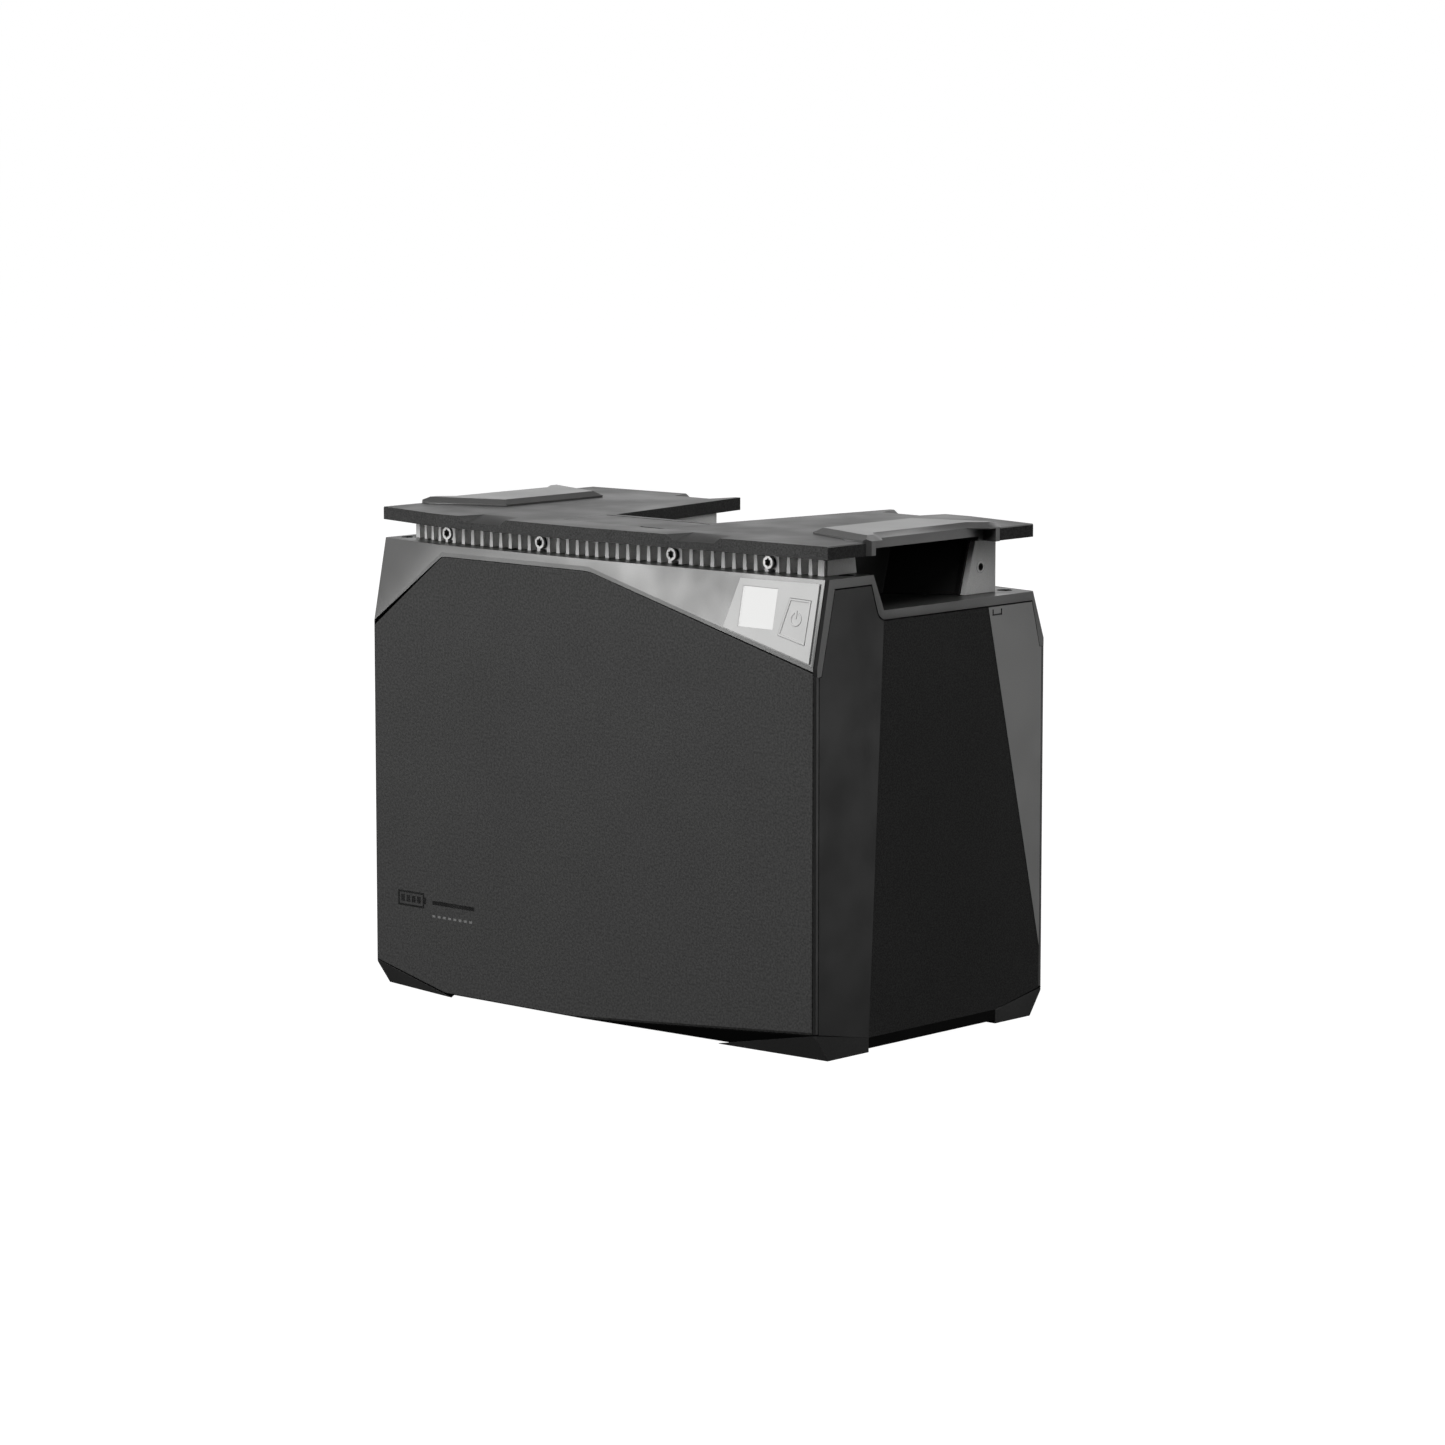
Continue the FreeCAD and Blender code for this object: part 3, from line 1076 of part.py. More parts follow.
def lead_route(side):
    """Route of the lead from the end cell of one side to its pole."""
    z = CELL_FLOOR + CELL_HEIGHT + 5.2
    x = side * (-cell_x(0) - CELL_THICK / 2)
    return [(x, 57.0, z), (x, 57.0, z + 50), (x - side * 4, 62.0, 228.5), (side * 100, 66.0, 229.5),
            (side * 52, 58.0, 227.5), (side * 24, 36.0, 226.0), (side * POLE_X, POWER_Y, 229.5),
            (side * POLE_X, POWER_Y, DECK_TOP - 0.4)]


# ---- connector bay -------------------------------------------------------------------------------
def make_connector_panel():
    z0 = DECK_TOP + 0.1
    inset = 1.2
    y0 = BAY_FRONT_Y + 1.5
    y1 = FRAME_REAR
    plan = [(-bay_half(y0) + inset, y0), (bay_half(y0) - inset, y0), (bay_half(y1) - inset, y1),
            (-bay_half(y1) + inset, y1)]
    plate = prism_z(plan, z0, PANEL_Z)
    holes = [box(-16, 16, POWER_Y - 7.5, POWER_Y + 7.5, z0 - 1, PANEL_Z + 1)]
    holes += [rod((s * LINK_X, LINK_Y, z0 - 1), (0, 0, 1), 6.1, 6.0) for s in (-1, 1)]
    holes += [rod((x, y, z0 - 1), (0, 0, 1), 1.6, 6.0) for x, y in panel_screws()]
    holes += [rod((0, 64, z0 - 1), (0, 0, 1), 2.6, 6.0), rod((*VENT, z0 - 1), (0, 0, 1), 4.1, 6)]
    return cut(plate, holes)


def panel_screws():
    return [(-34.5, -27.0), (34.5, -27.0), (-48.0, 66.0), (48.0, 66.0)]


def make_panel_screws():
    return Part.makeCompound([screw(x, y, PANEL_Z + 0.05, 2.3, 1.5, 2.8, 2.0) for x, y in panel_screws()])


def make_power_receptacle():
    z0 = PANEL_Z + 0.05
    shell = box(-POWER_X, POWER_X, POWER_Y - POWER_HALF_Y, POWER_Y + POWER_HALF_Y, z0, POWER_TOP)
    upright = [e for e in shell.Edges if abs(e.BoundBox.ZLength - (POWER_TOP - z0)) < 0.01]
    shell = shell.makeFillet(3.0, upright)
    hollow = box(-POWER_X + 3, POWER_X - 3, POWER_Y - POWER_HALF_Y + 3, POWER_Y + POWER_HALF_Y - 3,
                 z0 + 4, POWER_TOP + 1)
    hollow = hollow.makeFillet(2.0, [e for e in hollow.Edges if e.BoundBox.ZLength > 10])
    collars = [rod((s * POLE_X, POWER_Y, z0 + 3), (0, 0, 1), 7.0, 6.0) for s in (-1, 1)]
    key = box(-1.5, 1.5, POWER_Y + POWER_HALF_Y - 6, POWER_Y + POWER_HALF_Y - 2.5, z0 + 3, POWER_TOP - 3)
    poles = [rod((s * POLE_X, POWER_Y, z0 - 1), (0, 0, 1), POLE_R + 0.02, 30) for s in (-1, 1)]
    ears = hinge_ears(-POWER_X + 4, POWER_X - 4, POWER_Y + POWER_HALF_Y + 3.2, POWER_TOP - 0.8,
                      POWER_Y + POWER_HALF_Y - 1.0, 3.0)
    body = fuse([shell.cut(hollow)] + collars + [key] + ears)
    return cut(body, poles + [hinge_bore(POWER_Y + POWER_HALF_Y + 3.2, POWER_TOP - 0.8, POWER_X)])


def hinge_ears(x0, x1, y, z, wall_y, wide):
    """Two ears that hold a hinge pin behind a wall."""
    ears = []
    for x in (x0, x1 - wide):
        ears.append(box(x, x + wide, wall_y, y, z - 2.4, z + 0.01))
        ears.append(rod((x, y, z), (1, 0, 0), 2.4, wide))
        ears.append(prism_x([(wall_y, z - 7), (wall_y, z - 2.3), (y, z - 2.3)], x, x + wide))
    return ears


def hinge_bore(y, z, half):
    return rod((-half - 5, y, z), (1, 0, 0), HINGE_PIN_R, 2 * half + 10)


def make_power_contacts():
    poles = []
    for s in (-1, 1):
        base = rod((s * POLE_X, POWER_Y, DECK_TOP - 0.3), (0, 0, 1), POLE_R, POWER_TOP - 5 - DECK_TOP)
        tip = Part.makeCone(POLE_R, POLE_R - 1.2, 1.2, Vector(s * POLE_X, POWER_Y, POWER_TOP - 5.3))
        slot = box(s * POLE_X - 0.5, s * POLE_X + 0.5, POWER_Y - 6, POWER_Y + 6, POWER_TOP - 14, POWER_TOP)
        poles.append(cut(fuse([base, tip]), [slot]))
    return Part.makeCompound(poles)


def make_power_cap():
    z0 = POWER_TOP + 0.1
    y = POWER_Y + POWER_HALF_Y + 3.2
    pin_z = POWER_TOP - 0.8
    lid = box(-POWER_X - 0.6, POWER_X + 0.6, POWER_Y - POWER_HALF_Y - 1.0, y - 3.0, z0, z0 + CAP_THICK)
    lid = lid.makeFillet(3.0, [e for e in lid.Edges if e.BoundBox.ZLength > 2 and e.BoundBox.YMax < 0])
    plug = box(-POWER_X + 3.4, POWER_X - 3.4, POWER_Y - POWER_HALF_Y + 3.4, POWER_Y + POWER_HALF_Y - 4.5,
               z0 - 3.0, z0 + 0.1)
    plug = plug.makeFillet(1.6, [e for e in plug.Edges if e.BoundBox.ZLength > 2])
    tab = box(-7, 7, POWER_Y - POWER_HALF_Y - 5.0, POWER_Y - POWER_HALF_Y, z0 + 1.0, z0 + CAP_THICK)
    half = POWER_X - 4 - 3.0 - 0.3
    arm = prism_x([(y - 3.2, z0 + CAP_THICK), (y + 0.6, z0 + CAP_THICK), (y + 2.2, pin_z + 0.4),
                   (y, pin_z - 1.0), (y - 2.0, pin_z + 0.2), (y - 2.6, z0 + 0.1), (y - 3.2, z0 + 0.1)], -half, half)
    knuckle = rod((-half, y, pin_z), (1, 0, 0), 2.2, 2 * half)
    bore = rod((-half - 1, y, pin_z), (1, 0, 0), HINGE_PIN_R + 0.06, 2 * half + 2)
    return cut(fuse([lid, plug, tab, arm, knuckle]), [bore])


def make_link_port(side):
    """A round signal socket with five contacts and ears for its cap."""
    x = side * LINK_X
    z0 = PANEL_Z + 0.05
    shell = rod((x, LINK_Y, z0), (0, 0, 1), LINK_R, LINK_TOP - z0)
    hollow = rod((x, LINK_Y, z0 + 3), (0, 0, 1), LINK_R - 2.2, 40)
    reach = LINK_R + 1.5
    flange = box(x - reach, x + reach, LINK_Y - reach, LINK_Y + reach, z0, z0 + 2.4)
    insert = rod((x, LINK_Y, z0 + 2), (0, 0, 1), 4.6, 4.0)
    turns = [math.radians(72 * k) for k in range(5)]
    pins = [rod((x + 2.6 * math.cos(turn), LINK_Y + 2.6 * math.sin(turn), z0 + 5), (0, 0, 1), 0.6, 3.2)
            for turn in turns]
    neck = rod((x, LINK_Y, DECK_TOP - 5.0), (0, 0, 1), 6.0, 10.0)
    y = LINK_Y + LINK_R + 2.8
    z = LINK_TOP - 0.8
    ears = hinge_ears(x - 6.5, x + 6.5, y, z, LINK_Y + LINK_R - 2.0, 2.2)
    ears = [e.cut(rod((x, LINK_Y, z0), (0, 0, 1), LINK_R - 2.1, 40)) for e in ears]
    body = fuse([shell.cut(hollow), flange, insert, neck] + pins + ears)
    return body.cut(rod((x - 10, y, z), (1, 0, 0), HINGE_PIN_R, 20))


def make_link_cap(side):
    x = side * LINK_X
    z0 = LINK_TOP + 0.1
    y = LINK_Y + LINK_R + 2.8
    pin_z = LINK_TOP - 0.8
    disc = rod((x, LINK_Y, z0), (0, 0, 1), LINK_R + 0.5, CAP_THICK)
    plug = rod((x, LINK_Y, z0 - 2.5), (0, 0, 1), LINK_R - 2.6, 2.6)
    tab = box(x - 3.5, x + 3.5, LINK_Y - LINK_R - 4.0, LINK_Y - LINK_R + 1.0, z0 + 1.0, z0 + CAP_THICK)
    half = 6.5 - 2.2 - 0.3
    arm = prism_x([(LINK_Y + LINK_R - 3, z0 + CAP_THICK), (y + 0.4, z0 + CAP_THICK), (y + 2.1, pin_z + 0.4),
                   (y, pin_z - 1.0), (y - 2.0, pin_z + 0.4), (y - 2.4, z0 + 0.05),
                   (LINK_Y + LINK_R - 3, z0 + 0.05)],
                  x - half, x + half)
    knuckle = rod((x - half, y, pin_z), (1, 0, 0), 2.1, 2 * half)
    bore = rod((x - half - 1, y, pin_z), (1, 0, 0), HINGE_PIN_R + 0.06, 2 * half + 2)
    return cut(fuse([disc, plug, tab, arm, knuckle]), [bore])


def make_hinge_pins():
    """The hatch's long pin and the pins of the three caps."""
    length = 2 * (POWER_X - 4)
    pins = [rod((-HATCH_X - 3.9, HATCH_PIN_Y, HATCH_PIN_Z), (1, 0, 0), HATCH_PIN_R - 0.02, 2 * HATCH_X + 7.8)]
    radius = HINGE_PIN_R - 0.02
    pins.append(rod((-length / 2, POWER_Y + POWER_HALF_Y + 3.2, POWER_TOP - 0.8), (1, 0, 0), radius, length))
    pins += [rod((s * LINK_X - 6.5, LINK_Y + LINK_R + 2.8, LINK_TOP - 0.8), (1, 0, 0), radius, 13.0)
             for s in (-1, 1)]
    return Part.makeCompound(pins)


def make_ground_stud():
    """Earth stud with washer and nut."""
    z = PANEL_Z + 0.05
    stud = rod((0, 64, DECK_TOP + 0.1), (0, 0, 1), 2.5, 16.0)
    washer = rod((0, 64, z), (0, 0, 1), 5.0, 1.0)
    nut = prism_z([(4.6 * math.cos(math.radians(60 * k)), 64 + 4.6 * math.sin(math.radians(60 * k)))
                   for k in range(6)], z + 1.0, z + 5.0)
    return fuse([stud, washer, nut])


def make_vent_valve():
    """Breather valve: a low cap with slots round its side."""
    z = PANEL_Z + 0.05
    x, y = VENT
    stem = rod((x, y, DECK_TOP + 0.1), (0, 0, 1), 4.0, 4.0)
    cap = rod((x, y, z), (0, 0, 1), 7.0, 5.0)
    slots = [box(x - 0.9, x + 0.9, y + 4.6, y + 8, z + 1.2, z + 3.2) for _ in range(8)]
    for k, slot in enumerate(slots):
        slot.rotate(Vector(x, y, 0), Vector(0, 0, 1), 45 * k)
    return cut(fuse([stem, cap]), slots)


# ---- assembly ------------------------------------------------------------------------------------
def build():
    envelope = make_envelope()
    rear_envelope = turned(envelope)
    front_panel = make_panel(FRONT_PANEL_TOP)
    side_cover = make_side_cover()
    liner = make_well_liner()
    grip = make_grip()
    side_frame = make_side_frame()
    frame_ends = make_frame_ends()
    end_plate = make_end_plate()
    parts = {
        "base_tray": make_base_tray(envelope),
        "base_screws": make_base_screws(),
        "case_body": make_case_body(envelope),
        "case_seal": make_case_seal(),
        "case_screws": make_case_screws(),
        "upper_case": make_upper_case(envelope),
        "front_panel": front_panel,
        "rear_panel": turned(make_panel(REAR_PANEL_TOP)),
        "front_trim": cut_for_display(make_trim(envelope, FRONT_PANEL_TOP, RIDGE_TOP)),
        "rear_trim": turned(make_trim(rear_envelope, REAR_PANEL_TOP, DECK_TOP)),
        "right_side_cover": side_cover,
        "left_side_cover": mirrored(side_cover),
        "fin_bar": make_fin_bar(),
        "fin_bar_screws": make_fin_screws(),
        "frame_rail": make_frame_rail(),
        "right_side_frame": side_frame,
        "left_side_frame": mirrored(side_frame),
        "right_frame_ends": frame_ends,
        "left_frame_ends": mirrored(frame_ends),
        "side_inserts": make_inserts(),
        "right_well_liner": liner,
        "left_well_liner": mirrored(liner),
        "top_cover": make_top_cover(),
        "right_grip": grip,
        "left_grip": mirrored(grip),
        "hatch_lid": make_hatch_lid(),
        "service_block": make_service_block(),
        "display_fascia": make_fascia(),
        "display_glass": make_lcd(),
        "display_board": make_display_board(),
        "power_key": make_power_key(),
        "cells": make_cells(),
        "cell_pads": make_cell_pads(),
        "cell_tray": make_cell_tray(),
        "end_plates": Part.makeCompound([end_plate, mirrored(end_plate)]),
        "cell_straps": make_straps(),
        "busbars": make_busbars(),
        "electronics_carrier": make_electronics_carrier(),
        "control_board": make_control_board(),
        "board_parts": Part.makeCompound(make_board_parts() + make_transistors()),
        "thermal_pads": make_thermal_pads(),
        "main_fuse": make_main_fuse(),
        "positive_lead": tube(lead_route(1), 7.0),
        "negative_lead": tube(lead_route(-1), 7.0),
        "connector_panel": make_connector_panel(),
        "panel_screws": make_panel_screws(),
        "power_receptacle": make_power_receptacle(),
        "power_contacts": make_power_contacts(),
        "power_cap": make_power_cap(),
        "hinge_pins": make_hinge_pins(),
        "right_link_port": make_link_port(1),
        "left_link_port": make_link_port(-1),
        "right_link_cap": make_link_cap(1),
        "left_link_cap": make_link_cap(-1),
        "ground_stud": make_ground_stud(),
        "vent_valve": make_vent_valve(),
    }
    parts.update(make_feet(envelope))
    return parts


def cut_for_display(trim):
    return trim.cut(facet_prism(FASCIA, -10.0, 5.0))


def main():
    os.makedirs("parts", exist_ok=True)
    for old in os.listdir("parts"):
        os.remove(os.path.join("parts", old))
    for name, shape in build().items():
        if not shape.isValid():
            print(name, "is not valid")
        shape.exportStep(os.path.join("parts", name + ".step"))
        bound = shape.BoundBox
        print(f"{name:22s} solids {len(shape.Solids):3d}  volume {shape.Volume / 1000:9.2f} cm3  "
              f"X {bound.XMin:7.1f} {bound.XMax:7.1f}  Y {bound.YMin:7.1f} {bound.YMax:7.1f}  "
              f"Z {bound.ZMin:6.1f} {bound.ZMax:6.1f}")


if __name__ == "__main__":
    main()
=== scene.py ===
"""Looks of a portable lithium battery module: moulded and coated surfaces, softened edges and studio."""
import json
import math

import bmesh
import bpy
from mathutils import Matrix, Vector


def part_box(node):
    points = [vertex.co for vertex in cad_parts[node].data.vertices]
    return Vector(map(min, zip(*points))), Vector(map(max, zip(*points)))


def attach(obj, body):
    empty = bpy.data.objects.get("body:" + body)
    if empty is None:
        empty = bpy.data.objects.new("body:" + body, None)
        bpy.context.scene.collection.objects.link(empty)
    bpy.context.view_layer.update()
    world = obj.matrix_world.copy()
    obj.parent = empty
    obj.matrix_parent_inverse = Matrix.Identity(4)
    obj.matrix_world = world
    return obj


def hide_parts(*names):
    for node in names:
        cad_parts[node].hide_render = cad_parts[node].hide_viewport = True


MM = 0.001
FACE_ON = -0.100          # the front panel's face along Y
CAMERA_AT = Vector((1.98191, -2.14831, 0.56603))
CAMERA_LOOKS = Vector((-0.669045, 0.730643, -0.136160))
SENSOR = 36.0             # camera sensor width in millimetres
LENS = 125.552678         # focal length in millimetres
FAR = 100.0               # how far the camera sees, in metres

# Softened shells.
WELD = 2e-6               # corners nearer than this, in metres, are one corner
FLAT_ANGLE = math.radians(0.6)
SHARP_ANGLE = math.radians(28)
EDGE_SEGMENTS = 2

# Slow changes in gloss, in millimetres across.
COAT_DRIFT = 35.0
PEBBLE_DRIFT = 50.0
METAL_DRIFT = 8.0
PLAIN_DRIFT = 20.0

# Faces that get a second material. Distances are in millimetres, places along Y in metres.
SIDEWAYS = 0.9            # least share of a normal along X on a face that looks sideways
UPRIGHT = 0.5             # most share of a normal along Z on a standing face
FIELD_DEPTH = 0.25        # how far the rough field of a side cover lies below its smooth rim
RIM_SLACK = 0.1           # how far from the cover's outer face still counts as its rim
BAND_SLACK = 1.0
REAR_FACET_FROM = 0.03
REAR_BAND_FROM = -0.045
COVER_EDGE_TALL = 8

# The mark on the front panel, in millimetres. Heights are over its lower left corner.
MARK_AT = (-155.0, 45.0)  # lower left corner, X and Z
MARK_PROUD = 0.06
MARK_SUNK = 0.3
CELL_WIDE, CELL_LOW, CELL_TALL, CELL_LINE = 22.0, 6.0, 9.2, 1.2
TIP_WIDE = 1.6
BARS, BAR_START, BAR_PITCH, BAR_WIDE, BAR_LOW, BAR_HIGH = 4, 2.6, 4.5, 3.0, 8.6, 12.6
RULE_START, RULE_WIDE, RULE_LOW, RULE_HIGH = 29.0, 35.0, 9.2, 11.6
DASHES, DASH_PITCH, DASH_WIDE, DASH_LOW, DASH_HIGH = 8, 4.4, 2.4, 1.6, 3.0

# Screen.
RASTER_MM = 0.45
FADE_SHARE = 0.25         # share of the screen's width over which the left edge fades
SCREEN_GLOW = 0.66

# Studio.
MIDDLE = (0, 0, 0.15)     # what most lights point at
FLOOR_SIZE = 40.0

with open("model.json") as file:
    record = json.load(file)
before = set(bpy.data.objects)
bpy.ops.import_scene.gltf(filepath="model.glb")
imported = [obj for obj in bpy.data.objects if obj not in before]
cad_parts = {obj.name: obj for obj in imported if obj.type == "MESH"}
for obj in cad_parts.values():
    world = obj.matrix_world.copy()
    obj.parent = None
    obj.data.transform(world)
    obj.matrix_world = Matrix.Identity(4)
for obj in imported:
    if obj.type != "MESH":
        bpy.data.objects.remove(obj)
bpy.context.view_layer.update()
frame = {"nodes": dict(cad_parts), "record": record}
nodes = frame["nodes"]
body_of = {n: b for b, members in frame["record"]["behaviour"]["bodies"].items() for n in members}


# ---- materials ------------------------------------------------------------------------------------
class Coat:
    """A procedural Principled material under construction."""

    def __init__(self, name, roughness, metallic=0.0, specular=0.5):
        self.material = bpy.data.materials.new(name)
        self.material.use_nodes = True
        tree = self.material.node_tree
        self.nodes = tree.nodes
        self.links = tree.links
        self.shader = self.nodes["Principled BSDF"]
        self.set("Roughness", roughness)
        self.set("Metallic", metallic)
        self.set("Specular IOR Level", specular)
        self.place = self.add("ShaderNodeTexCoord").outputs["Object"]
        self.height = None

    def add(self, kind, **values):
        node = self.nodes.new(kind)
        for name, value in values.items():
            setattr(node, name, value)
        return node

    def set(self, socket, value):
        self.shader.inputs[socket].default_value = value

    def noise(self, size_mm, detail=2.0, stretch=None):
        """Noise whose features are about size_mm across."""
        node = self.add("ShaderNodeTexNoise")
        node.inputs["Scale"].default_value = 1.0 / (size_mm * MM)
        node.inputs["Detail"].default_value = detail
        node.inputs["Roughness"].default_value = 0.55
        source = self.place
        if stretch:
            mapping = self.add("ShaderNodeMapping")
            mapping.inputs["Scale"].default_value = stretch
            self.links.new(self.place, mapping.inputs["Vector"])
            source = mapping.outputs["Vector"]
        self.links.new(source, node.inputs["Vector"])
        return node.outputs["Fac"]

    def cells(self, size_mm):
        """Distance from the middle of each cell, for cells about size_mm across."""
        node = self.add("ShaderNodeTexVoronoi")
        node.inputs["Scale"].default_value = 1.0 / (size_mm * MM)
        self.links.new(self.place, node.inputs["Vector"])
        return node.outputs["Distance"]

    def ramp(self, value, low, high, start, stop):
        node = self.add("ShaderNodeMapRange")
        for name, number in (("From Min", low), ("From Max", high), ("To Min", start), ("To Max", stop)):
            node.inputs[name].default_value = number
        self.links.new(value, node.inputs["Value"])
        return node.outputs["Result"]

    def colour(self, value, dark, light, low=0.3, high=0.7):
        """Base colour that runs from dark to light with value."""
        node = self.add("ShaderNodeMix", data_type="RGBA")
        node.inputs["A"].default_value = (*dark, 1.0)
        node.inputs["B"].default_value = (*light, 1.0)
        self.links.new(self.ramp(value, low, high, 0.0, 1.0), node.inputs["Factor"])
        self.links.new(node.outputs["Result"], self.shader.inputs["Base Color"])

    def roughness(self, value, smooth, rough):
        self.links.new(self.ramp(value, 0.3, 0.7, smooth, rough), self.shader.inputs["Roughness"])

    def relief(self, value, depth_mm):
        node = self.add("ShaderNodeBump")
        node.inputs["Distance"].default_value = depth_mm * MM
        node.inputs["Strength"].default_value = 1.0
        self.links.new(value, node.inputs["Height"])
        if self.height is not None:
            self.links.new(self.height, node.inputs["Normal"])
        self.height = node.outputs["Normal"]
        self.links.new(self.height, self.shader.inputs["Normal"])


def grey(tone):
    return (tone, tone, tone * 0.99)


def coat(name, tone, spread, roughness, specular, grain_mm, relief_mm, metallic=0.0, drift=0.06):
    """A grained coating: fine relief, slight tone variation and slow drift in its gloss."""
    made = Coat(name, roughness, metallic, specular)
    fine = made.noise(grain_mm)
    made.colour(fine, grey(tone * (1 - spread)), grey(tone * (1 + spread)))
    made.roughness(made.noise(COAT_DRIFT), roughness - drift, roughness + drift)
    made.relief(fine, relief_mm)
    return made.material


def make_leather_coat(name, tone, spread, roughness, specular, grain_mm, relief_mm):
    """A pebbled powder coat: rounded grains with fine speckle between them."""
    made = Coat(name, roughness, 0.0, specular)
    pebbles = made.noise(grain_mm, 3.0)
    speckle = made.noise(grain_mm * 0.4, 1.0)
    made.colour(pebbles, grey(tone * (1 - spread)), grey(tone * (1 + spread)), 0.36, 0.64)
    made.roughness(made.noise(PEBBLE_DRIFT), roughness - 0.04, roughness + 0.04)
    made.relief(pebbles, relief_mm)
    made.relief(speckle, relief_mm * 0.3)
    return made.material


def make_brushed(name, tone, roughness, stretch):
    made = Coat(name, roughness, 1.0)
    lines = made.noise(0.25, 3.0, stretch)
    made.colour(lines, grey(tone * 0.9), grey(tone * 1.08))
    made.roughness(made.noise(METAL_DRIFT), roughness - 0.07, roughness + 0.07)
    made.relief(lines, 0.01)
    return made.material


def make_screen():
    """A lit display: an even pale field with a fine pixel raster and a dotted fade at its left edge."""
    made = Coat("screen_lit", 0.25, 0.0, 0.4)
    low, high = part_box("display_glass")
    split = made.add("ShaderNodeSeparateXYZ")
    made.links.new(made.place, split.inputs["Vector"])
    across = made.ramp(split.outputs["X"], low.x, low.x + FADE_SHARE * (high.x - low.x), 0.0, 1.0)
    dots = made.cells(RASTER_MM)
    edge = made.add("ShaderNodeMath", operation="ADD")
    made.links.new(across, edge.inputs[0])
    made.links.new(dots, edge.inputs[1])
    glow = made.add("ShaderNodeMix", data_type="RGBA")
    glow.inputs["A"].default_value = (0.52, 0.52, 0.51, 1.0)
    glow.inputs["B"].default_value = (0.80, 0.80, 0.79, 1.0)
    made.links.new(made.ramp(edge.outputs["Value"], 0.4, 0.62, 0.0, 1.0), glow.inputs["Factor"])
    made.links.new(glow.outputs["Result"], made.shader.inputs["Emission Color"])
    made.set("Emission Strength", SCREEN_GLOW)
    made.set("Base Color", (0.06, 0.06, 0.06, 1.0))
    made.relief(dots, 0.002)
    return made.material


def make_board():
    made = Coat("board_green", 0.35, 0.0, 0.5)
    made.colour(made.cells(3.0), (0.012, 0.07, 0.03), (0.02, 0.12, 0.05), 0.1, 0.5)
    made.relief(made.noise(1.2), 0.01)
    return made.material


def make_coloured(name, dark, light, roughness, metallic=0.0, grain_mm=1.5, relief_mm=0.01):
    made = Coat(name, roughness, metallic)
    fine = made.noise(grain_mm)
    made.colour(fine, dark, light)
    made.roughness(made.noise(PLAIN_DRIFT), roughness - 0.05, roughness + 0.05)
    made.relief(fine, relief_mm)
    return made.material


def make_materials():
    """Every material by kind. A coat's numbers are tone, spread, roughness, specular, grain and relief."""
    return {
        "panel": make_leather_coat("panel_powder_coat", 0.034, 0.34, 0.60, 0.20, 1.3, 0.12),
        "field": make_leather_coat("field_fine_texture", 0.036, 0.35, 0.60, 0.12, 0.9, 0.06),
        "side": coat("side_smooth_black", 0.022, 0.08, 0.38, 0.32, 0.7, 0.004),
        # Rear facets of the side covers: a far lighter tone than the smooth front facet, a painted sheen in
        # place of the reflection that lightens them.
        "side_rear": coat("side_rear_painted_sheen", 0.30, 0.05, 0.42, 0.5, 0.7, 0.004),
        # Rear part of the upper case's side band: a much lighter tone than the black case, a painted sheen
        # for the light it catches towards the rear.
        "band": coat("rear_band_painted_sheen", 0.20, 0.05, 0.42, 0.4, 0.7, 0.004),
        "skin": coat("case_satin_black", 0.030, 0.10, 0.36, 0.50, 0.7, 0.004),
        "base": coat("base_matt_black", 0.004, 0.15, 0.60, 0.06, 0.9, 0.02),
        "foot": coat("foot_rubber", 0.040, 0.15, 0.60, 0.30, 0.9, 0.02),
        "silver": coat("trim_silver_paint", 0.13, 0.05, 0.44, 0.5, 0.35, 0.003, metallic=0.75),
        "fascia": coat("fascia_pale_satin", 0.43, 0.02, 0.45, 0.35, 0.4, 0.002),
        "screen": make_screen(),
        "cast": coat("heat_sink_cast", 0.74, 0.06, 0.50, 0.4, 0.8, 0.010),
        "cover": coat("cover_fine_grain", 0.034, 0.25, 0.45, 0.5, 0.8, 0.02),
        "cover_edge": coat("cover_edge_grain", 0.032, 0.50, 0.60, 0.2, 0.9, 0.12),
        "grip": coat("grip_satin", 0.065, 0.05, 0.34, 1.0, 2.0, 0.0015, drift=0.02),
        "plastic": coat("moulded_black", 0.012, 0.12, 0.50, 0.30, 0.6, 0.01),
        "rubber": coat("rubber_black", 0.012, 0.12, 0.65, 0.20, 0.8, 0.015),
        "steel": make_brushed("screw_steel", 0.30, 0.40, (1.0, 0.2, 1.0)),
        "copper": make_coloured("busbar_copper", (0.62, 0.28, 0.14), (0.75, 0.36, 0.20), 0.3, 1.0),
        "cell": make_coloured("cell_film_blue", (0.02, 0.06, 0.20), (0.03, 0.08, 0.26), 0.35),
        "foam": make_coloured("foam_grey", (0.10, 0.10, 0.10), (0.16, 0.16, 0.16), 0.9, 0.0, 0.6, 0.1),
        "board": make_board(),
        "nylon": make_coloured("nylon_natural", (0.55, 0.54, 0.50), (0.64, 0.63, 0.58), 0.5),
        "red": make_coloured("sleeve_red", (0.30, 0.01, 0.01), (0.40, 0.02, 0.02), 0.5),
        "brass": make_coloured("contact_silvered", (0.60, 0.56, 0.45), (0.72, 0.68, 0.56), 0.25, 1.0),
        "mark": coat("mark_gloss_black", 0.004, 0.05, 0.22, 0.5, 0.5, 0.001),
        "mark_grey": coat("mark_grey_print", 0.14, 0.05, 0.5, 0.3, 0.5, 0.001),
    }


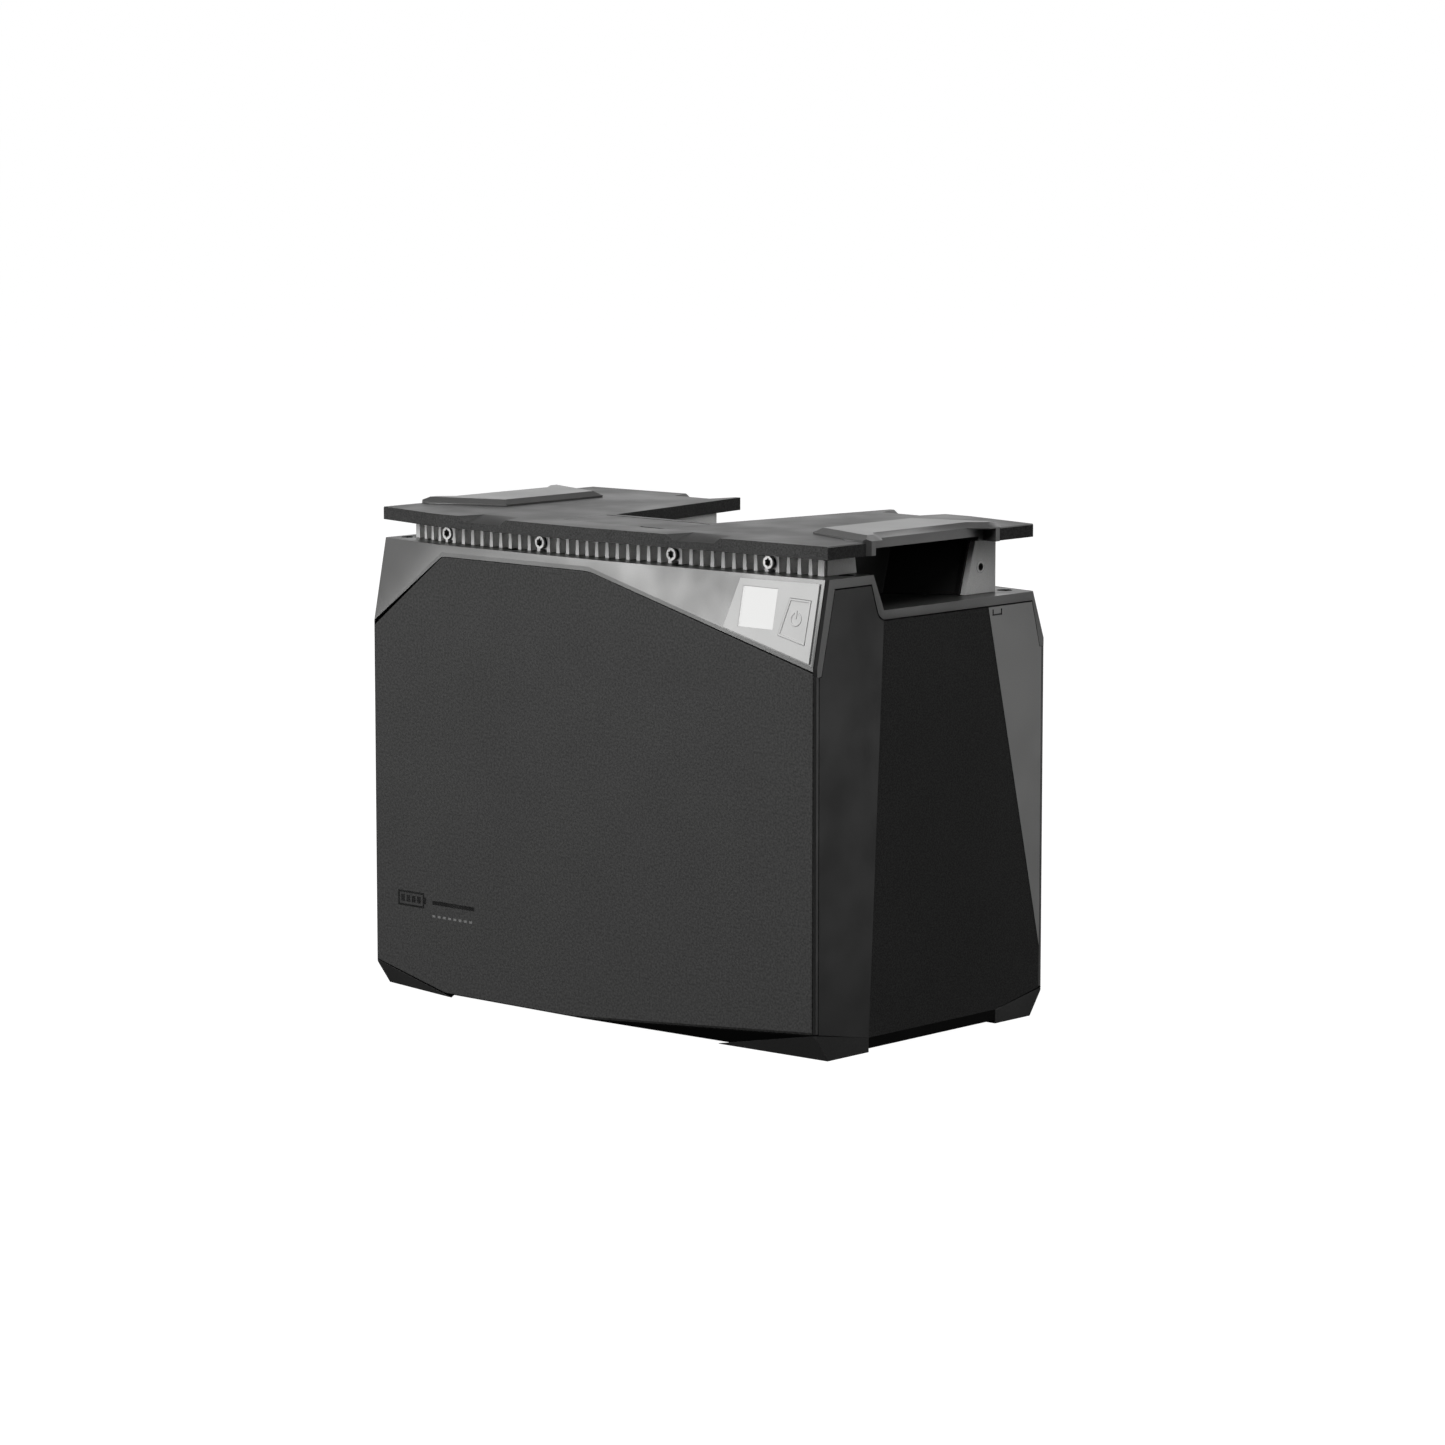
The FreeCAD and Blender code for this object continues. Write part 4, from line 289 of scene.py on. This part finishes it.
MATERIAL_OF = {
    "panel": ["front_panel", "rear_panel"],
    "side": ["left_side_cover", "right_side_cover"],
    "skin": ["case_body", "upper_case"],
    "base": ["base_tray"],
    "silver": ["front_trim", "rear_trim"],
    "fascia": ["display_fascia", "power_key"],
    "screen": ["display_glass"],
    "cast": ["fin_bar", "frame_rail", "left_side_frame", "right_side_frame", "left_frame_ends",
             "right_frame_ends", "end_plates"],
    "cover": ["top_cover", "hatch_lid"],
    "grip": ["left_grip", "right_grip"],
    "plastic": ["left_well_liner", "right_well_liner", "service_block", "connector_panel", "power_receptacle",
                "left_link_port", "right_link_port", "vent_valve", "board_parts"],
    "foot": ["foot_front_left", "foot_front_right", "foot_rear_left", "foot_rear_right"],
    "rubber": ["case_seal", "power_cap", "left_link_cap", "right_link_cap", "negative_lead"],
    "steel": ["base_screws", "case_screws", "fin_bar_screws", "panel_screws", "side_inserts", "hinge_pins",
              "cell_straps"],
    "copper": ["busbars"],
    "cell": ["cells"],
    "foam": ["cell_pads", "cell_tray", "thermal_pads"],
    "board": ["control_board", "display_board"],
    "nylon": ["electronics_carrier", "main_fuse"],
    "red": ["positive_lead"],
    "brass": ["power_contacts", "ground_stud"],
}

# Softened edges in millimetres, for the nodes that show.
EDGE_MM = {
    "front_panel": 0.5, "rear_panel": 0.5, "left_side_cover": 0.35, "right_side_cover": 0.35,
    "upper_case": 0.5, "front_trim": 0.6, "rear_trim": 0.4, "case_body": 0.3, "base_tray": 0.4,
    "foot_front_left": 0.5, "foot_front_right": 0.5, "foot_rear_left": 0.5, "foot_rear_right": 0.5,
    "fin_bar": 0.25, "frame_rail": 0.3, "left_side_frame": 0.4, "right_side_frame": 0.4,
    "left_frame_ends": 0.5, "right_frame_ends": 0.5, "top_cover": 0.8, "hatch_lid": 0.3, "left_grip": 0.6,
    "right_grip": 0.6, "display_fascia": 0.3, "power_key": 0.12, "left_well_liner": 0.3,
    "right_well_liner": 0.3, "connector_panel": 0.3, "power_receptacle": 0.4, "power_cap": 0.5,
    "left_link_port": 0.25, "right_link_port": 0.25, "left_link_cap": 0.4, "right_link_cap": 0.4,
    "vent_valve": 0.3, "fin_bar_screws": 0.25, "service_block": 0.25,
}


def soften(name, width_mm, material):
    """A copy of a CAD node with flat faces rejoined and rounded edges, which replaces the node."""
    mesh = nodes[name].data.copy()
    shape = bmesh.new()
    shape.from_mesh(mesh)
    bmesh.ops.remove_doubles(shape, verts=shape.verts, dist=WELD)
    bmesh.ops.dissolve_limit(shape, angle_limit=FLAT_ANGLE, verts=shape.verts, edges=shape.edges)
    shape.to_mesh(mesh)
    shape.free()
    mesh.materials.clear()
    mesh.materials.append(material)
    mesh.shade_smooth()
    mesh.set_sharp_from_angle(angle=SHARP_ANGLE)
    piece = bpy.data.objects.new(name + "_shell", mesh)
    bpy.context.scene.collection.objects.link(piece)
    bevel = piece.modifiers.new("edge", "BEVEL")
    bevel.width = width_mm * MM
    bevel.segments = EDGE_SEGMENTS
    bevel.limit_method = "ANGLE"
    bevel.angle_limit = SHARP_ANGLE
    bevel.harden_normals = True
    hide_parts(name)
    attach(piece, body_of[name])
    return piece


def dress(materials):
    """Every CAD node gets its material, and the ones that show get softened edges."""
    pieces = {}
    for kind, names in MATERIAL_OF.items():
        for name in names:
            if name in EDGE_MM:
                pieces[name] = soften(name, EDGE_MM[name], materials[kind])
            else:
                mesh = nodes[name].data
                mesh.materials.clear()
                mesh.materials.append(materials[kind])
    return pieces


def paint_where(piece, material, chosen):
    """A second material on the faces that chosen picks by their centre and normal, in metres."""
    mesh = piece.data
    mesh.materials.append(material)
    for face in mesh.polygons:
        if chosen(face.center, face.normal):
            face.material_index = len(mesh.materials) - 1


def paint_details(pieces, materials):
    """The side covers' rough fields, the painted sheen on their rear facets and on the case's rear band, and
    the top cover's edges.
    """
    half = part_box("right_side_cover")[1].x
    rim = half - RIM_SLACK * MM
    floor_of_field = half - 1.5 * FIELD_DEPTH * MM
    band = half - BAND_SLACK * MM
    cover_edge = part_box("top_cover")[1].z - COVER_EDGE_TALL * MM
    for side in ("left", "right"):
        cover = pieces[side + "_side_cover"]
        paint_where(cover, materials["field"],
                    lambda at, way: abs(way.x) > SIDEWAYS and floor_of_field < abs(at.x) < rim)
        # The rear facets take the painted sheen material.
        paint_where(cover, materials["side_rear"],
                    lambda at, way: abs(way.x) > SIDEWAYS and abs(at.x) > rim and at.y > REAR_FACET_FROM)
    # Painted sheen on the rear part of the case's side band.
    paint_where(pieces["upper_case"], materials["band"],
                lambda at, way: abs(way.x) > SIDEWAYS and abs(at.x) > band and at.y > REAR_BAND_FROM)
    paint_where(pieces["top_cover"], materials["cover_edge"],
                lambda at, way: abs(way.z) < UPRIGHT and at.z > cover_edge)


# ---- marks ----------------------------------------------------------------------------------------
def add_box_marks(name, boxes, material):
    """Thin printed marks on the front panel, from (left, right, low, high) boxes in millimetres."""
    shape = bmesh.new()
    for left, right, low, high in boxes:
        corners = []
        for y in (FACE_ON - MARK_PROUD * MM, FACE_ON + MARK_SUNK * MM):
            corners.append([shape.verts.new((x * MM, y, z * MM))
                            for x, z in ((left, low), (right, low), (right, high), (left, high))])
        front, back = corners
        shape.faces.new(front)
        shape.faces.new(back[::-1])
        for i in range(4):
            shape.faces.new((front[i], back[i], back[(i + 1) % 4], front[(i + 1) % 4]))
    bmesh.ops.recalc_face_normals(shape, faces=shape.faces)
    mesh = bpy.data.meshes.new(name)
    shape.to_mesh(mesh)
    shape.free()
    mesh.materials.append(material)
    piece = bpy.data.objects.new(name, mesh)
    bpy.context.scene.collection.objects.link(piece)
    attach(piece, "case")
    return piece


def add_level_mark(materials):
    """A made-up charge pictogram with a row of dashes under it, low on the front panel's left."""
    left, base = MARK_AT
    right = left + CELL_WIDE
    low, high = base + CELL_LOW, base + CELL_LOW + CELL_TALL
    inner_low, inner_high = low + CELL_LINE, high - CELL_LINE
    bar_low, bar_high = base + BAR_LOW, base + BAR_HIGH
    cell = [(left, right, low, inner_low), (left, right, inner_high, high),
            (left, left + CELL_LINE, inner_low, inner_high),
            (right - CELL_LINE, right, inner_low, inner_high),
            (right, right + TIP_WIDE, bar_low, bar_high)]
    bars = []
    for k in range(BARS):
        start = left + BAR_START + BAR_PITCH * k
        bars.append((start, start + BAR_WIDE, bar_low, bar_high))
    rule_start = left + RULE_START
    rule = [(rule_start, rule_start + RULE_WIDE, base + RULE_LOW, base + RULE_HIGH)]
    add_box_marks("level_mark", cell + bars + rule, materials["mark"])
    dashes = []
    for k in range(DASHES):
        start = rule_start + DASH_PITCH * k
        dashes.append((start, start + DASH_WIDE, base + DASH_LOW, base + DASH_HIGH))
    add_box_marks("level_dashes", dashes, materials["mark_grey"])


# ---- studio ---------------------------------------------------------------------------------------
def add_camera():
    data = bpy.data.cameras.new("camera")
    data.sensor_width = SENSOR
    data.lens = LENS
    data.clip_end = FAR
    camera = bpy.data.objects.new("camera", data)
    camera.location = CAMERA_AT
    camera.rotation_euler = CAMERA_LOOKS.to_track_quat("-Z", "Y").to_euler()
    bpy.context.scene.collection.objects.link(camera)
    bpy.context.scene.camera = camera


def add_light(name, at, target, size, power, size_y=None):
    """A square area light, or an oblong one where size_y is given."""
    data = bpy.data.lights.new(name, "AREA")
    data.energy = power
    data.size = size
    if size_y:
        data.shape = "RECTANGLE"
        data.size_y = size_y
    light = bpy.data.objects.new(name, data)
    light.location = at
    light.rotation_euler = (Vector(target) - Vector(at)).to_track_quat("-Z", "Y").to_euler()
    bpy.context.scene.collection.objects.link(light)


def add_floor():
    """A white floor that only the camera sees."""
    made = Coat("floor_pale", 0.9, 0.0, 0.0)
    made.colour(made.noise(400.0), grey(0.10), grey(0.11))
    made.set("Emission Color", (1.0, 1.0, 1.0, 1.0))
    made.set("Emission Strength", 1.0)
    bpy.ops.mesh.primitive_plane_add(size=FLOOR_SIZE, location=(0, 0, 0))
    floor = bpy.context.object
    floor.name = "floor"
    floor.data.materials.append(made.material)
    floor.visible_diffuse = False
    floor.visible_glossy = False


def add_world():
    """White to the camera, with no light from it on surfaces."""
    world = bpy.data.worlds.new("studio")
    bpy.context.scene.world = world
    world.use_nodes = True
    background = world.node_tree.nodes["Background"]
    background.inputs["Color"].default_value = (1.0, 1.0, 1.0, 1.0)
    background.inputs["Strength"].default_value = 1.0
    world.cycles_visibility.diffuse = False
    world.cycles_visibility.glossy = False


def around(azimuth, elevation, distance):
    """A point around the object's middle, from degrees and metres."""
    turn, rise = math.radians(azimuth), math.radians(elevation)
    out = distance * math.cos(rise)
    return Vector((out * math.cos(turn), out * math.sin(turn), MIDDLE[2] + distance * math.sin(rise)))


def add_studio():
    add_world()
    add_floor()
    add_light("key_soft", around(-125, 15, 2.5), MIDDLE, 1.1, 43.0, 1.6)
    add_light("front_fill", around(-72, 50, 2.2), MIDDLE, 1.6, 34.0, 1.2)
    add_light("rear_card", around(124, 11, 2.6), (0, 0, 0.25), 2.4, 13.0, 1.5)
    add_light("top_soft", around(-60, 82, 2.5), MIDDLE, 1.8, 18.0)
    add_light("rear_soft", around(84, 30, 2.6), MIDDLE, 1.4, 16.0)
    add_light("left_soft", around(186, 25, 2.8), MIDDLE, 1.4, 9.0)
    add_light("side_card", (1.15, 1.20, -0.02), (0.175, 0.0, 0.10), 0.9, 1.8, 0.6)
    add_light("side_fill", around(8, 20, 3.0), MIDDLE, 2.2, 9.0)


bpy.context.scene.view_settings.view_transform = "Standard"
materials = make_materials()
pieces = dress(materials)
paint_details(pieces, materials)
add_level_mark(materials)
add_studio()
add_camera()
